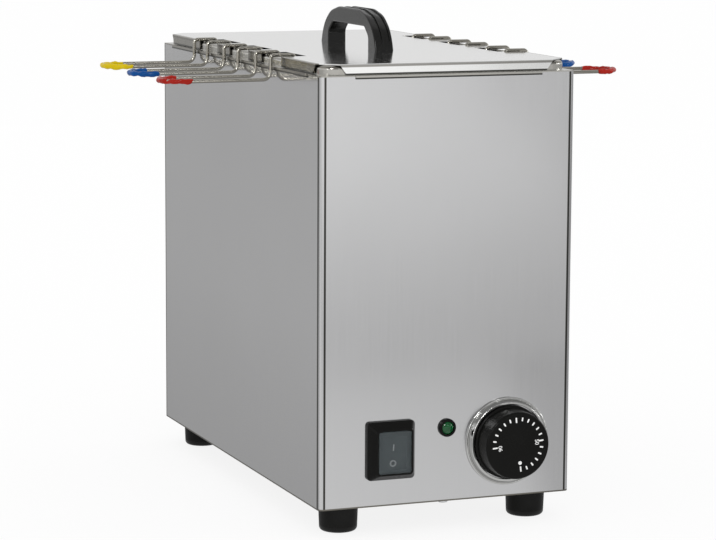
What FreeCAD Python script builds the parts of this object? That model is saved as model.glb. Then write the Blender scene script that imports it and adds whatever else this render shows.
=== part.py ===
"""Egg boiler: a tall stainless water bath with a loose lid and six wire egg baskets.

Millimetres, +Z up. The front, with the controls, faces -Y. The origin lies on the table under the
middle of the casing. Every sub-part is written to parts/NAME.step.
"""
import FreeCAD
import Part

import math
import os

from FreeCAD import Vector

X, Y, Z = Vector(1, 0, 0), Vector(0, 1, 0), Vector(0, 0, 1)
OVERRUN = 2.0          # how far a cutting tool reaches past what it cuts
TINY = 0.000001        # shorter than any edge
SHEET = 0.8            # stainless sheet, on every folded piece

# Casing and base
CASING_WIDTH = 200.0
CASING_DEPTH = 375.0
CASING_HEIGHT = 316.0  # underside of the base plate to the top of the deck's ledge
CORNER_RADIUS = 4.0
RETURN_WIDTH = 12.0    # flange folded inwards at the foot of the walls
BASE_SHEET = 1.0
BASE_CLEARANCE = 0.2
VENT_LENGTH = 50.0
VENT_WIDTH = 4.0
VENT_PITCH = 12.0
VENT_COUNT = 7
VENT_OFFSET = 40.0     # of each row of vents, from the middle of the base
BASE_SCREW_RADIUS = 1.9
BASE_SCREW_LENGTH = 7.0
BASE_HEAD_RADIUS = 3.8
BASE_HEAD_HEIGHT = 2.0
BASE_SCREW_EDGE = 6.5  # screw axis to the casing's outside face
BASE_SCREW_ROW = 130.0  # front and back screws, from the middle

# Feet
FOOT_HEIGHT = 21.0
FOOT_TOP_RADIUS = 14.8
FOOT_TIP_RADIUS = 14.0
FOOT_ROUND = 3.0
FOOT_FROM_SIDE = 24.5
FOOT_FROM_END = 25.5
FOOT_WELL_RADIUS = 7.0
FOOT_WELL_DEPTH = 12.0
FOOT_SCREW_RADIUS = 2.5
FOOT_HOLE_CLEARANCE = 0.3
FOOT_SCREW_HEAD_RADIUS = 4.6
FOOT_SCREW_HEAD_HEIGHT = 3.0
FOOT_WASHER_RADIUS = 6.0
FOOT_WASHER_HEIGHT = 1.0
FOOT_NUT_FLATS = 8.0
FOOT_NUT_HEIGHT = 4.0
SCREW_TIP = 2.0        # thread that stands past a nut

# Top deck, with its curb
LIP_PROUD = 0.9
LIP_DROP = 2.6
LIP_FROM_CORNER = 27.0
CURB_HEIGHT = 7.1
CURB_INSET = 4.0       # casing's face to the curb's face at the sides
CURB_INSET_END = 4.9   # the same at the front and back
CURB_CORNER = 12.0
CURB_ROUND = 3.0

# Tank
TANK_FROM_SIDE = 13.0  # casing's face to the tank's inside
TANK_FROM_END = 22.5
TANK_DEPTH = 165.0
TANK_CORNER = 20.0
TANK_FLOOR_ROUND = 12.0
TANK_RIM = 5.0

# Lid
LID_GAP = 0.6          # lid flange to curb
LID_SEAT = 0.1         # lid to curb top
LID_FLANGE = 6.9       # flange below the plate
LID_CORNER_CUT = 14.0
LID_FLANGE_SLANT = 5.0
LID_BEND_ROUND = 0.7
NOTCH_LENGTH = 45.0
NOTCH_DEPTH = 20.0
BASKET_PITCH = 75.0

# Lid handle: half of its outline, from the foot to the middle
HANDLE_WIDTH = 15.0
HANDLE_HALF = 59.5
HANDLE_HEIGHT = 29.5
HANDLE_LEG = 16.5
HANDLE_BAR = 12.5
HANDLE_ANKLE_HEIGHT = 8.0  # height of each turn of the outline, and how far in it lies
HANDLE_ANKLE_IN = 2.6
HANDLE_KNEE = 16.5
HANDLE_KNEE_IN = 7.6
HANDLE_SHOULDER = 25.6
HANDLE_SHOULDER_IN = 20.0
HANDLE_CROWN_IN = 38.0
HANDLE_OUTER_ROUND = 27.0
HANDLE_ARCH_FOOT = 9.5  # height where the opening starts to narrow
HANDLE_ARCH_IN = 9.0    # how far it has narrowed under the bar
HANDLE_INNER_ROUND = 6.0
HANDLE_EDGE_ROUND = 1.2
FLUTE_WIDTH = 4.2
FLUTE_DEPTH = 0.9
FLUTE_OFFSET = 3.1
FLUTE_START = 3.0      # above the lid
HANDLE_SCREW_RADIUS = 2.5
HANDLE_SCREW_DEPTH = 12.0
HANDLE_SCREW_HEAD_RADIUS = 4.5
HANDLE_SCREW_HEAD_HEIGHT = 2.6
HANDLE_WASHER_RADIUS = 6.0
HANDLE_WASHER_HEIGHT = 1.0

# Egg baskets
WIRE_RADIUS = 1.4
WIRE_GAP = 34.0        # between the axes of the two handle wires
WIRE_SEAT = 0.1        # over the curb
WIRE_OUTSIDE = 3.0     # hanging wire's axis to the casing's face
WIRE_TANK_GAP = 1.6    # sliding wire to the tank's wall
WIRE_BEND = 3.0
HANGER_BEND = 6.0      # where a hanging wire turns into the handle
HANDLE_DROP = 18.0     # hook's top to the handle wires' axis
HANDLE_REACH = 85.0    # from the casing's face to the handle's end
LEFT_SHIFT = 2.0       # baskets stand a little off the middle of their notches
RIGHT_SHIFT = -3.0
CUP_RADIUS = 27.0      # of its two rings
CUP_DEPTH = 40.0
CUP_ROUND = 18.0       # bend of the bows that carry the egg
CUP_WAIST_DROP = 13.0  # second ring, below the first
CUP_BOWS = 2
CUP_FROM_WALL = 8.6    # ring to the tank's wall
BOW_END = 2.0          # bow's ends, above the axis of the ring they are welded to
BASKET_LIFT = 100.0
LIFT_CLEARANCE = 3.0
WELD_DEPTH = 0.8       # how far welded wires sink into each other
GRIP_RADIUS = 2.5
GRIP_STRAIGHT = 8.0    # of the dipped coat, past the bend

# Controls on the front wall
KNOB_X = 48.4
KNOB_RISE = 42.0       # above the base
KNOB_PROUD = 21.0
KNOB_RADIUS = 25.0
KNOB_SKIRT_RADIUS = 27.5
KNOB_SKIRT_HEIGHT = 3.6
KNOB_GAP = 2.8         # knob's back to the wall
KNOB_WAIST_RADIUS = 26.0
KNOB_ROUND = 1.5
KNOB_WALL = 2.6
KNOB_HUB_RADIUS = 6.5
RING_RADIUS = 33.1
RING_BEAD_WIDTH = 1.2
RING_BEAD_HEIGHT = 1.5
RING_GROOVE_RADIUS = 31.5
RING_GROOVE_HEIGHT = 0.7
RING_LIP_RADIUS = 29.9
RING_LIP_HEIGHT = 4.6
RING_BORE_CLEARANCE = 0.7
RING_ROUND = 0.6
RING_MARK_WIDTH = 1.4
RING_MARK_HEIGHT = 0.4
SHAFT_RADIUS = 3.0
SHAFT_CLEARANCE = 0.05
SHAFT_TIP_CLEARANCE = 0.5
SHAFT_END_GAP = 3.0    # shaft's tip to the knob's face
SHAFT_SEAT = 14.0      # length inside the thermostat
THERMOSTAT_WIDTH = 44.0
THERMOSTAT_HEIGHT = 34.0
THERMOSTAT_LENGTH = 32.0
THERMOSTAT_ROUND = 3.0
NOSE_RADIUS = 5.0
NOSE_HEIGHT = 1.6
PANEL_CLEARANCE = 0.2
STAT_SCREW_SPAN = 28.0
STAT_SCREW_RADIUS = 2.0
STAT_SCREW_DEPTH = 8.0
STAT_HEAD_RADIUS = 3.6
STAT_HEAD_HEIGHT = 1.8

LAMP_X = 0.1
LAMP_RISE = 55.3
LAMP_RADIUS = 6.8
LAMP_PROUD = 2.6
LENS_RADIUS = 4.9
LENS_DOME = 2.2
LAMP_BODY_RADIUS = 4.9
LAMP_BODY_LENGTH = 24.0
LAMP_NUT_FLATS = 13.0
LAMP_NUT_HEIGHT = 3.0

SWITCH_X = -44.9
SWITCH_RISE = 41.8
SWITCH_WIDTH = 37.2
SWITCH_HEIGHT = 43.4
SWITCH_BASE_HEIGHT = 2.5
SWITCH_PROUD = 10.8
SWITCH_TOP_WIDTH = 28.8
SWITCH_TOP_HEIGHT = 34.0
SWITCH_CORNER = 3.0
COVER_WIDTH = 25.4
COVER_HEIGHT = 31.5
COVER_PROUD = 11.4
COVER_WALL = 0.8
COVER_CORNER = 2.0
DISH_RIM = 1.2         # flat rim round the dish in the cover's front
DISH_SLOPE_X = 2.0
DISH_SLOPE_Z = 2.3
DISH_DEPTH = 1.4
SWITCH_BODY_WIDTH = 28.2
SWITCH_BODY_HEIGHT = 37.0
SWITCH_BODY_LENGTH = 26.0
SWITCH_BODY_FRONT = 0.8  # body's collar, proud of the wall
ROCKER_WIDTH = 21.0
ROCKER_HALF = 12.5
ROCKER_PROUD = 7.6     # face's ends, proud of the wall, before the tilt
ROCKER_DIP = 0.8
ROCKER_PIVOT = -3.5    # pivot, proud of the wall
ROCKER_BACK_RADIUS = 6.0
ROCKER_TILT_DEG = 6.0
ROCKER_CLEARANCE = 1.6
PIN_RADIUS = 1.5
PIN_LENGTH = 1.8
PIN_CLEARANCE = 0.05
TAB_WIDTH = 6.3
TAB_THICKNESS = 0.8
TAB_LENGTH = 8.0
TAB_SPAN_X = 14.0
TAB_SPAN_Z = 20.0

# Heating under the tank
SPREADER_WIDTH = 120.0
SPREADER_FROM_END = 40.0  # tank's inside to the spreader's end
SPREADER_THICKNESS = 3.0
ELEMENT_RADIUS = 4.0
ELEMENT_PITCH = 30.0
ELEMENT_FROM_END = 15.0
COLD_PIN_RADIUS = 2.0
COLD_PIN_LENGTH = 14.0
CLAMP_WIDTH = 14.0
CLAMP_THICKNESS = 2.5
CLAMP_OFFSET = 60.0
STUD_RADIUS = 2.0
STUD_NUT_FLATS = 7.0
STUD_NUT_HEIGHT = 3.2
CUTOUT_RADIUS = 8.0
CUTOUT_HEIGHT = 9.0
CUTOUT_BRIM_RADIUS = 12.0
CUTOUT_BRIM = 1.0
BULB_RADIUS = 3.0
BULB_LENGTH = 70.0
BULB_RISE = 25.0       # above the tank's floor
BULB_START_X = 0.0
CAPILLARY_RADIUS = 1.0
CAPILLARY_SWING = 30.0
CAPILLARY_BEND = 12.0
CLIP_LENGTH = 10.0
CLIP_WALL = 1.0

# Mains inlet
GLAND_FROM_SIDE = 40.0
GLAND_RISE = 32.0
GLAND_BORE = 4.5
GLAND_THREAD_RADIUS = 7.8
GLAND_THREAD_INSIDE = 9.0
GLAND_FLATS = 20.0
GLAND_HEX_HEIGHT = 5.0
GLAND_CAP_RADIUS = 9.4
GLAND_MOUTH_RADIUS = 6.6
GLAND_PROUD = 21.0
GLAND_NUT_FLATS = 21.0
GLAND_NUT_HEIGHT = 4.5
BLOCK_LENGTH = 34.0
BLOCK_WIDTH = 20.0
BLOCK_HEIGHT = 16.0
BLOCK_FROM_WALL = 30.0
BLOCK_WAYS = 3
BLOCK_SCREW_RADIUS = 2.4
BLOCK_WELL_DEPTH = 4.0
EARTH_X = 0.0
EARTH_RADIUS = 2.0
EARTH_HEIGHT = 14.0
EARTH_NUT_FLATS = 7.0
EARTH_NUT_HEIGHT = 3.2

# Heights and faces that follow from the sizes above
BASE_Z = FOOT_HEIGHT
DECK_Z = BASE_Z + CASING_HEIGHT
CURB_Z = DECK_Z + CURB_HEIGHT
HALF_WIDTH = CASING_WIDTH / 2
HALF_DEPTH = CASING_DEPTH / 2
FRONT_Y = -HALF_DEPTH
CURB_HALF_X = HALF_WIDTH - CURB_INSET
CURB_HALF_Y = HALF_DEPTH - CURB_INSET_END
TANK_WIDTH = CASING_WIDTH - 2 * TANK_FROM_SIDE
TANK_LENGTH = CASING_DEPTH - 2 * TANK_FROM_END
SPREADER_LENGTH = TANK_LENGTH - 2 * SPREADER_FROM_END
ELEMENT_LENGTH = SPREADER_LENGTH - 2 * ELEMENT_FROM_END
TANK_FLOOR_Z = CURB_Z - TANK_DEPTH
TANK_UNDER_Z = TANK_FLOOR_Z - SHEET
LID_UNDER_Z = CURB_Z + LID_SEAT
LID_TOP_Z = LID_UNDER_Z + SHEET
LID_HALF_X = CURB_HALF_X + LID_GAP + SHEET
LID_HALF_Y = CURB_HALF_Y + LID_GAP + SHEET
NOTCH_ROWS = (-BASKET_PITCH, 0.0, BASKET_PITCH)
CUP_FROM_MIDDLE = TANK_WIDTH / 2 - CUP_FROM_WALL - WIRE_RADIUS - CUP_RADIUS
KNOB_Z = BASE_Z + KNOB_RISE
LAMP_Z = BASE_Z + LAMP_RISE
SWITCH_Z = BASE_Z + SWITCH_RISE
GLAND_X = GLAND_FROM_SIDE - HALF_WIDTH
GLAND_Z = BASE_Z + GLAND_RISE


def face(points, origin, across, up):
    """Flat face with its corners rounded: each point is (across, up) or (across, up, radius)."""
    corners = [(origin + across * p[0] + up * p[1], p[2] if len(p) > 2 else 0.0) for p in points]
    edges, ends = [], []
    for i, (corner, radius) in enumerate(corners):
        before, after = corners[i - 1][0], corners[(i + 1) % len(corners)][0]
        into, out = (corner - before).normalize(), (after - corner).normalize()
        if radius > 0:
            reach = radius * math.tan(into.getAngle(out) / 2)
            start, end = corner - into * reach, corner + out * reach
            middle = corner + (out - into).normalize() * (
                radius / math.cos(into.getAngle(out) / 2) - radius)
            edges.append(Part.Arc(start, middle, end).toShape())
            ends.append((start, end))
        else:
            ends.append((corner, corner))
    for i, (start, end) in enumerate(ends):
        following = ends[(i + 1) % len(ends)][0]
        if (following - end).Length > TINY:
            edges.append(Part.LineSegment(end, following).toShape())
    return Part.Face(Part.Wire(Part.__sortEdges__(edges)))


def box(low, high):
    size = high - low
    return Part.makeBox(size.x, size.y, size.z, low)


def prism(width, depth, radius, low_z, high_z):
    """Upright block round the Z axis, with rounded upright corners."""
    half_w, half_d = width / 2, depth / 2
    points = [(-half_w, -half_d, radius), (half_w, -half_d, radius),
              (half_w, half_d, radius), (-half_w, half_d, radius)]
    return face(points, Z * low_z, X, Y).extrude(Z * (high_z - low_z))


def turned(points, origin, outwards, along):
    """Solid of revolution: each point is (radius, distance along the axis, corner radius)."""
    return face(points, origin, outwards, along).revolve(origin, along, 360)


def rod(start, end, radius):
    return Part.makeCylinder(radius, (end - start).Length, start, end - start)


def hex_nut(origin, along, flats, height, bore):
    """Hexagon nut with its seat at origin."""
    side = X if abs(along.dot(X)) < 0.5 else Y
    other = along.cross(side)
    reach = flats / math.sqrt(3)
    turns = [math.radians(60 * i) for i in range(6)]
    points = [(reach * math.cos(t), reach * math.sin(t)) for t in turns]
    nut = face(points, origin, side, other).extrude(along * height)
    hole = rod(origin - along * OVERRUN, origin + along * (height + OVERRUN), bore)
    return nut.cut(hole)


def joined(solids):
    whole = solids[0]
    if len(solids) > 1:
        whole = whole.multiFuse(solids[1:]).removeSplitter()
    return whole


def bent_wire(points, bends, radius):
    """Round wire along straight runs, with an arc of its own radius at each inner point."""
    pieces, start = [], points[0]
    for before, corner, after, bend in zip(points, points[1:], points[2:], bends):
        into, out = (corner - before).normalize(), (after - corner).normalize()
        turn = into.getAngle(out)
        reach = bend * math.tan(turn / 2)
        arc_start = corner - into * reach
        if (arc_start - start).Length > radius / 100:
            pieces.append(rod(start, arc_start, radius))
        axis = into.cross(out).normalize()
        centre = arc_start + axis.cross(into) * bend
        disc = Part.Face(Part.Wire(Part.makeCircle(radius, arc_start, into)))
        pieces.append(disc.revolve(centre, axis, math.degrees(turn)))
        start = corner + out * reach
    pieces.append(rod(start, points[-1], radius))
    return joined(pieces)


def make_casing():
    """Four walls from one wrapped sheet, with a return flange at the foot and the control holes."""
    top = DECK_Z - SHEET
    return_low = BASE_Z + BASE_SHEET
    inner_w, inner_d = CASING_WIDTH - 2 * SHEET, CASING_DEPTH - 2 * SHEET
    inner_r = CORNER_RADIUS - SHEET
    shell = prism(CASING_WIDTH, CASING_DEPTH, CORNER_RADIUS, BASE_Z, top)
    shell = shell.cut(prism(inner_w, inner_d, inner_r, BASE_Z - OVERRUN, return_low))
    shell = shell.cut(prism(inner_w, inner_d, inner_r, return_low + SHEET, top + OVERRUN))
    shell = shell.cut(prism(CASING_WIDTH - 2 * RETURN_WIDTH, CASING_DEPTH - 2 * RETURN_WIDTH,
                            CORNER_RADIUS, return_low - OVERRUN, top))
    wall_in, wall_out = Y * (SHEET + OVERRUN), Y * -OVERRUN
    knob, lamp = Vector(KNOB_X, FRONT_Y, KNOB_Z), Vector(LAMP_X, FRONT_Y, LAMP_Z)
    holes = [rod(knob + wall_out, knob + wall_in, NOSE_RADIUS + PANEL_CLEARANCE),
             rod(lamp + wall_out, lamp + wall_in, LAMP_BODY_RADIUS + PANEL_CLEARANCE)]
    for side in (-1, 1):
        screw = knob + X * (side * STAT_SCREW_SPAN / 2)
        holes.append(rod(screw + wall_out, screw + wall_in, STAT_SCREW_RADIUS + PANEL_CLEARANCE))
    half = Vector(SWITCH_BODY_WIDTH / 2 + PANEL_CLEARANCE, 0, SWITCH_BODY_HEIGHT / 2 + PANEL_CLEARANCE)
    switch = Vector(SWITCH_X, FRONT_Y, SWITCH_Z)
    holes.append(box(switch - half + wall_out, switch + half + wall_in))
    gland = Vector(GLAND_X, HALF_DEPTH, GLAND_Z)
    holes.append(rod(gland - wall_in, gland - wall_out, GLAND_THREAD_RADIUS + PANEL_CLEARANCE))
    for spot in base_screw_spots():
        low = spot + Z * (BASE_SHEET - OVERRUN)
        holes.append(rod(low, low + Z * (SHEET + 2 * OVERRUN), BASE_SCREW_RADIUS))
    return shell.cut(holes)


def base_screw_spots():
    """Where the base plate's screws enter it, on the plate's underside."""
    x, y = HALF_WIDTH - BASE_SCREW_EDGE, HALF_DEPTH - BASE_SCREW_EDGE
    sides = [Vector(s * x, row, BASE_Z) for s in (-1, 1)
             for row in (-BASE_SCREW_ROW, 0, BASE_SCREW_ROW)]
    return sides + [Vector(0, s * y, BASE_Z) for s in (-1, 1)]


def foot_spots():
    """Foot axes on the base plate's underside, by name."""
    x, y = HALF_WIDTH - FOOT_FROM_SIDE, HALF_DEPTH - FOOT_FROM_END
    return {"front_left": Vector(-x, -y, BASE_Z), "front_right": Vector(x, -y, BASE_Z),
            "rear_left": Vector(-x, y, BASE_Z), "rear_right": Vector(x, y, BASE_Z)}


def make_base_plate():
    """Flat closing plate with two rows of vent slots and its screw holes."""
    gap = SHEET + BASE_CLEARANCE
    plate = prism(CASING_WIDTH - 2 * gap, CASING_DEPTH - 2 * gap, CORNER_RADIUS - gap,
                  BASE_Z, BASE_Z + BASE_SHEET)
    tools = []
    for row in (-VENT_OFFSET, VENT_OFFSET):
        for i in range(VENT_COUNT):
            y = (i - (VENT_COUNT - 1) / 2) * VENT_PITCH
            half_l, half_w = VENT_LENGTH / 2, VENT_WIDTH / 2
            points = [(-half_l, -half_w, half_w), (half_l, -half_w, half_w),
                      (half_l, half_w, half_w), (-half_l, half_w, half_w)]
            slot = face(points, Vector(row, y, BASE_Z - OVERRUN), X, Y)
            tools.append(slot.extrude(Z * (BASE_SHEET + 2 * OVERRUN)))
    for spot in base_screw_spots():
        tools.append(rod(spot - Z * OVERRUN, spot + Z * (BASE_SHEET + OVERRUN), BASE_SCREW_RADIUS))
    for spot in foot_spots().values():
        tools.append(rod(spot - Z * OVERRUN, spot + Z * (BASE_SHEET + OVERRUN),
                         FOOT_SCREW_RADIUS + FOOT_HOLE_CLEARANCE))
    earth = Vector(EARTH_X, HALF_DEPTH - BLOCK_FROM_WALL, BASE_Z)
    tools.append(rod(earth - Z * OVERRUN, earth + Z * (BASE_SHEET + OVERRUN), EARTH_RADIUS))
    return plate.cut(tools)


def make_base_screws():
    """Pan-head screws from below, through the base plate into the return flange."""
    screws = []
    for spot in base_screw_spots():
        head = turned([(0, 0), (0, -BASE_HEAD_HEIGHT),
                       (BASE_HEAD_RADIUS, -BASE_HEAD_HEIGHT, BASE_HEAD_HEIGHT / 2),
                       (BASE_HEAD_RADIUS, 0)], spot, X, Z)
        screws.append(head.fuse(rod(spot, spot + Z * BASE_SCREW_LENGTH, BASE_SCREW_RADIUS)))
    return Part.makeCompound(screws)


def make_foot(spot):
    """Tapered rubber foot, rounded at the tip, with a well for its screw."""
    body = turned([(0, 0), (FOOT_TOP_RADIUS, 0, FOOT_ROUND / 4),
                   (FOOT_TIP_RADIUS, -FOOT_HEIGHT, FOOT_ROUND), (0, -FOOT_HEIGHT)], spot, X, Z)
    well_top = spot - Z * (FOOT_HEIGHT - FOOT_WELL_DEPTH)
    well = rod(spot - Z * (FOOT_HEIGHT + OVERRUN), well_top, FOOT_WELL_RADIUS)
    hole = rod(well_top - Z * OVERRUN, spot + Z * OVERRUN, FOOT_SCREW_RADIUS + FOOT_HOLE_CLEARANCE)
    return body.cut([well, hole])


def foot_fasteners():
    """Washers, screws and nuts of the four feet."""
    washers, screws, nuts = [], [], []
    for spot in foot_spots().values():
        seat = spot - Z * (FOOT_HEIGHT - FOOT_WELL_DEPTH)
        under = seat - Z * FOOT_WASHER_HEIGHT
        washers.append(rod(under, seat, FOOT_WASHER_RADIUS).cut(
            rod(under - Z * OVERRUN, seat + Z * OVERRUN, FOOT_SCREW_RADIUS)))
        nut_seat = spot + Z * BASE_SHEET
        tip = nut_seat + Z * (FOOT_NUT_HEIGHT + SCREW_TIP)
        head = turned([(0, 0), (FOOT_SCREW_HEAD_RADIUS, 0),
                       (FOOT_SCREW_HEAD_RADIUS, -FOOT_SCREW_HEAD_HEIGHT, FOOT_SCREW_HEAD_HEIGHT / 2),
                       (0, -FOOT_SCREW_HEAD_HEIGHT)], under, X, Z)
        screws.append(head.fuse(rod(under, tip, FOOT_SCREW_RADIUS)))
        nuts.append(hex_nut(nut_seat, Z, FOOT_NUT_FLATS, FOOT_NUT_HEIGHT, FOOT_SCREW_RADIUS))
    return (Part.makeCompound(washers), Part.makeCompound(screws), Part.makeCompound(nuts))


def make_top_deck():
    """Flat ledge with a folded lip, and a hollow raised curb round the tank's opening."""
    low = DECK_Z - SHEET
    deck = prism(CASING_WIDTH, CASING_DEPTH, CORNER_RADIUS, low, DECK_Z)
    half_x, half_y = HALF_WIDTH - LIP_FROM_CORNER, HALF_DEPTH - LIP_FROM_CORNER
    for s in (-1, 1):
        for lip in (box(Vector(-half_x, -LIP_PROUD / 2, DECK_Z - LIP_DROP),
                        Vector(half_x, LIP_PROUD / 2, DECK_Z)).translated(
                            Y * (s * (HALF_DEPTH + LIP_PROUD / 2))),
                    box(Vector(-LIP_PROUD / 2, -half_y, DECK_Z - LIP_DROP),
                        Vector(LIP_PROUD / 2, half_y, DECK_Z)).translated(
                            X * (s * (HALF_WIDTH + LIP_PROUD / 2)))):
            deck = deck.fuse(lip)
    curb = prism(2 * CURB_HALF_X, 2 * CURB_HALF_Y, CURB_CORNER, low, CURB_Z)
    crown = [e for e in curb.Edges if abs(e.BoundBox.ZMin - CURB_Z) < SHEET / 10]
    curb = curb.makeFillet(CURB_ROUND, crown)
    hollow = prism(2 * (CURB_HALF_X - SHEET), 2 * (CURB_HALF_Y - SHEET), CURB_CORNER - SHEET,
                   low - OVERRUN, CURB_Z - SHEET)
    crown = [e for e in hollow.Edges if abs(e.BoundBox.ZMin - (CURB_Z - SHEET)) < SHEET / 10]
    hollow = hollow.makeFillet(CURB_ROUND - SHEET, crown)
    opening = prism(TANK_WIDTH, TANK_LENGTH, TANK_CORNER, low, CURB_Z + OVERRUN)
    return deck.fuse(curb).cut([hollow, opening]).removeSplitter()


def make_tank():
    """Drawn water tank with a round-cornered floor and a rim flange under the curb."""
    top = CURB_Z - SHEET
    outer = prism(TANK_WIDTH + 2 * SHEET, TANK_LENGTH + 2 * SHEET, TANK_CORNER + SHEET,
                  TANK_UNDER_Z, top)
    inner = prism(TANK_WIDTH, TANK_LENGTH, TANK_CORNER, TANK_FLOOR_Z, top + OVERRUN)

    def floor_edges(solid, z):
        return [e for e in solid.Edges if abs(e.BoundBox.ZMax - z) < SHEET / 10]
    outer = outer.makeFillet(TANK_FLOOR_ROUND + SHEET, floor_edges(outer, TANK_UNDER_Z))
    inner = inner.makeFillet(TANK_FLOOR_ROUND, floor_edges(inner, TANK_FLOOR_Z))
    rim = prism(TANK_WIDTH + 2 * TANK_RIM, TANK_LENGTH + 2 * TANK_RIM, TANK_CORNER + TANK_RIM,
                top - SHEET, top)
    return outer.fuse(rim).cut(inner).removeSplitter()


def make_lid():
    """Flat plate with turned-down flanges, cut-off corners and open notches for the baskets."""
    flange_low = LID_UNDER_Z - LID_FLANGE
    cut = LID_CORNER_CUT

    def octagon(half_x, half_y):
        return [(-half_x + cut, -half_y), (half_x - cut, -half_y), (half_x, -half_y + cut),
                (half_x, half_y - cut), (half_x - cut, half_y), (-half_x + cut, half_y),
                (-half_x, half_y - cut), (-half_x, -half_y + cut)]
    height = LID_TOP_Z - flange_low
    lid = face(octagon(LID_HALF_X, LID_HALF_Y), Z * flange_low, X, Y).extrude(Z * height)
    straight = [e for e in lid.Edges if abs(e.BoundBox.ZMin - LID_TOP_Z) < SHEET / 10
                and min(e.BoundBox.XLength, e.BoundBox.YLength) < SHEET / 10]
    lid = lid.makeFillet(LID_BEND_ROUND, straight)
    inner = box(Vector(-LID_HALF_X + SHEET, -LID_HALF_Y + SHEET, flange_low - OVERRUN),
                Vector(LID_HALF_X - SHEET, LID_HALF_Y - SHEET, LID_UNDER_Z))
    tools = [inner]
    drop = LID_FLANGE + OVERRUN
    for half, across, along in ((LID_HALF_X, X, Y), (LID_HALF_Y, Y, X)):
        end = (LID_HALF_Y if along is Y else LID_HALF_X) - cut
        slant = LID_FLANGE_SLANT * drop / LID_FLANGE
        points = [(end, 0), (end + cut + OVERRUN, 0), (end + cut + OVERRUN, -drop),
                  (end - slant, -drop)]
        for side in (-1, 1):
            for way in (-1, 1):
                start = across * (side * (half + OVERRUN)) + Z * LID_UNDER_Z
                wedge = face([(way * a, b) for a, b in points], start, along, Z)
                tools.append(wedge.extrude(across * (-side * (SHEET + 2 * OVERRUN))))
    for side in (-1, 1):
        for row in NOTCH_ROWS:
            inner_x, outer_x = side * (LID_HALF_X - NOTCH_DEPTH), side * (LID_HALF_X + OVERRUN)
            tools.append(box(
                Vector(min(inner_x, outer_x), row - NOTCH_LENGTH / 2, flange_low - OVERRUN),
                Vector(max(inner_x, outer_x), row + NOTCH_LENGTH / 2, LID_TOP_Z + OVERRUN)))
    for side in (-1, 1):
        spot = Vector(0, side * handle_screw_y(), LID_UNDER_Z)
        tools.append(rod(spot - Z * OVERRUN, spot + Z * (SHEET + OVERRUN), HANDLE_SCREW_RADIUS))
    return lid.cut(tools)


def handle_screw_y():
    return HANDLE_HALF - HANDLE_LEG / 2


def handle_outline(inset):
    """Side view of the bow handle, with its outer face moved in by inset."""
    half, top = HANDLE_HALF - inset, HANDLE_HEIGHT - inset
    inner, under = HANDLE_HALF - HANDLE_LEG, HANDLE_HEIGHT - HANDLE_BAR
    right = [(inner, 0), (half, 0),
             (half - HANDLE_ANKLE_IN, HANDLE_ANKLE_HEIGHT, HANDLE_OUTER_ROUND),
             (half - HANDLE_KNEE_IN, HANDLE_KNEE - inset / 2, HANDLE_OUTER_ROUND),
             (half - HANDLE_SHOULDER_IN, HANDLE_SHOULDER - inset, HANDLE_OUTER_ROUND),
             (half - HANDLE_CROWN_IN, top, HANDLE_OUTER_ROUND)]
    left = [(-u, *rest) for u, *rest in reversed(right)]
    arch = [(HANDLE_ARCH_IN - inner, under, HANDLE_INNER_ROUND),
            (inner - HANDLE_ARCH_IN, under, HANDLE_INNER_ROUND),
            (inner, HANDLE_ARCH_FOOT, HANDLE_INNER_ROUND)]
    return right + left + [(-inner, HANDLE_ARCH_FOOT, HANDLE_INNER_ROUND)] + arch


def make_lid_handle():
    """Moulded bow handle with two flutes along its outer face."""
    half = HANDLE_WIDTH / 2
    origin = Vector(-half, 0, LID_TOP_Z)
    body = face(handle_outline(0), origin, Y, Z).extrude(X * HANDLE_WIDTH)
    long_edges = [e for e in body.Edges
                  if e.BoundBox.XLength < SHEET / 10 and e.BoundBox.ZMax > LID_TOP_Z + SHEET]
    body = body.makeFillet(HANDLE_EDGE_ROUND, long_edges)
    tools = []
    for side in (-1, 1):
        low = side * FLUTE_OFFSET - FLUTE_WIDTH / 2
        start = Vector(low, 0, LID_TOP_Z)
        core = face(handle_outline(FLUTE_DEPTH), start, Y, Z).extrude(X * FLUTE_WIDTH)
        band = box(Vector(low, -HANDLE_HALF - OVERRUN, LID_TOP_Z + FLUTE_START),
                   Vector(low + FLUTE_WIDTH, HANDLE_HALF + OVERRUN,
                          LID_TOP_Z + HANDLE_HEIGHT + OVERRUN))
        inner = HANDLE_HALF - HANDLE_LEG
        under_bar = box(Vector(low, -inner, LID_TOP_Z),
                        Vector(low + FLUTE_WIDTH, inner, LID_TOP_Z + HANDLE_HEIGHT - HANDLE_BAR))
        tools.append(band.cut([core, under_bar]))
    for side in (-1, 1):
        spot = Vector(0, side * handle_screw_y(), LID_TOP_Z)
        tools.append(rod(spot - Z * OVERRUN, spot + Z * HANDLE_SCREW_DEPTH, HANDLE_SCREW_RADIUS))
    return body.cut(tools)


def lid_fasteners():
    """Washers and screws under the lid that hold its handle."""
    washers, screws = [], []
    for side in (-1, 1):
        seat = Vector(0, side * handle_screw_y(), LID_UNDER_Z)
        under = seat - Z * HANDLE_WASHER_HEIGHT
        washers.append(rod(under, seat, HANDLE_WASHER_RADIUS).cut(
            rod(under - Z * OVERRUN, seat + Z * OVERRUN, HANDLE_SCREW_RADIUS)))
        head = turned([(0, 0), (HANDLE_SCREW_HEAD_RADIUS, 0),
                       (HANDLE_SCREW_HEAD_RADIUS, -HANDLE_SCREW_HEAD_HEIGHT,
                        HANDLE_SCREW_HEAD_HEIGHT / 2),
                       (0, -HANDLE_SCREW_HEAD_HEIGHT)], under, X, Z)
        tip = seat + Z * (SHEET + HANDLE_SCREW_DEPTH)
        screws.append(head.fuse(rod(under, tip, HANDLE_SCREW_RADIUS)))
    return Part.makeCompound(washers), Part.makeCompound(screws)


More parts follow.
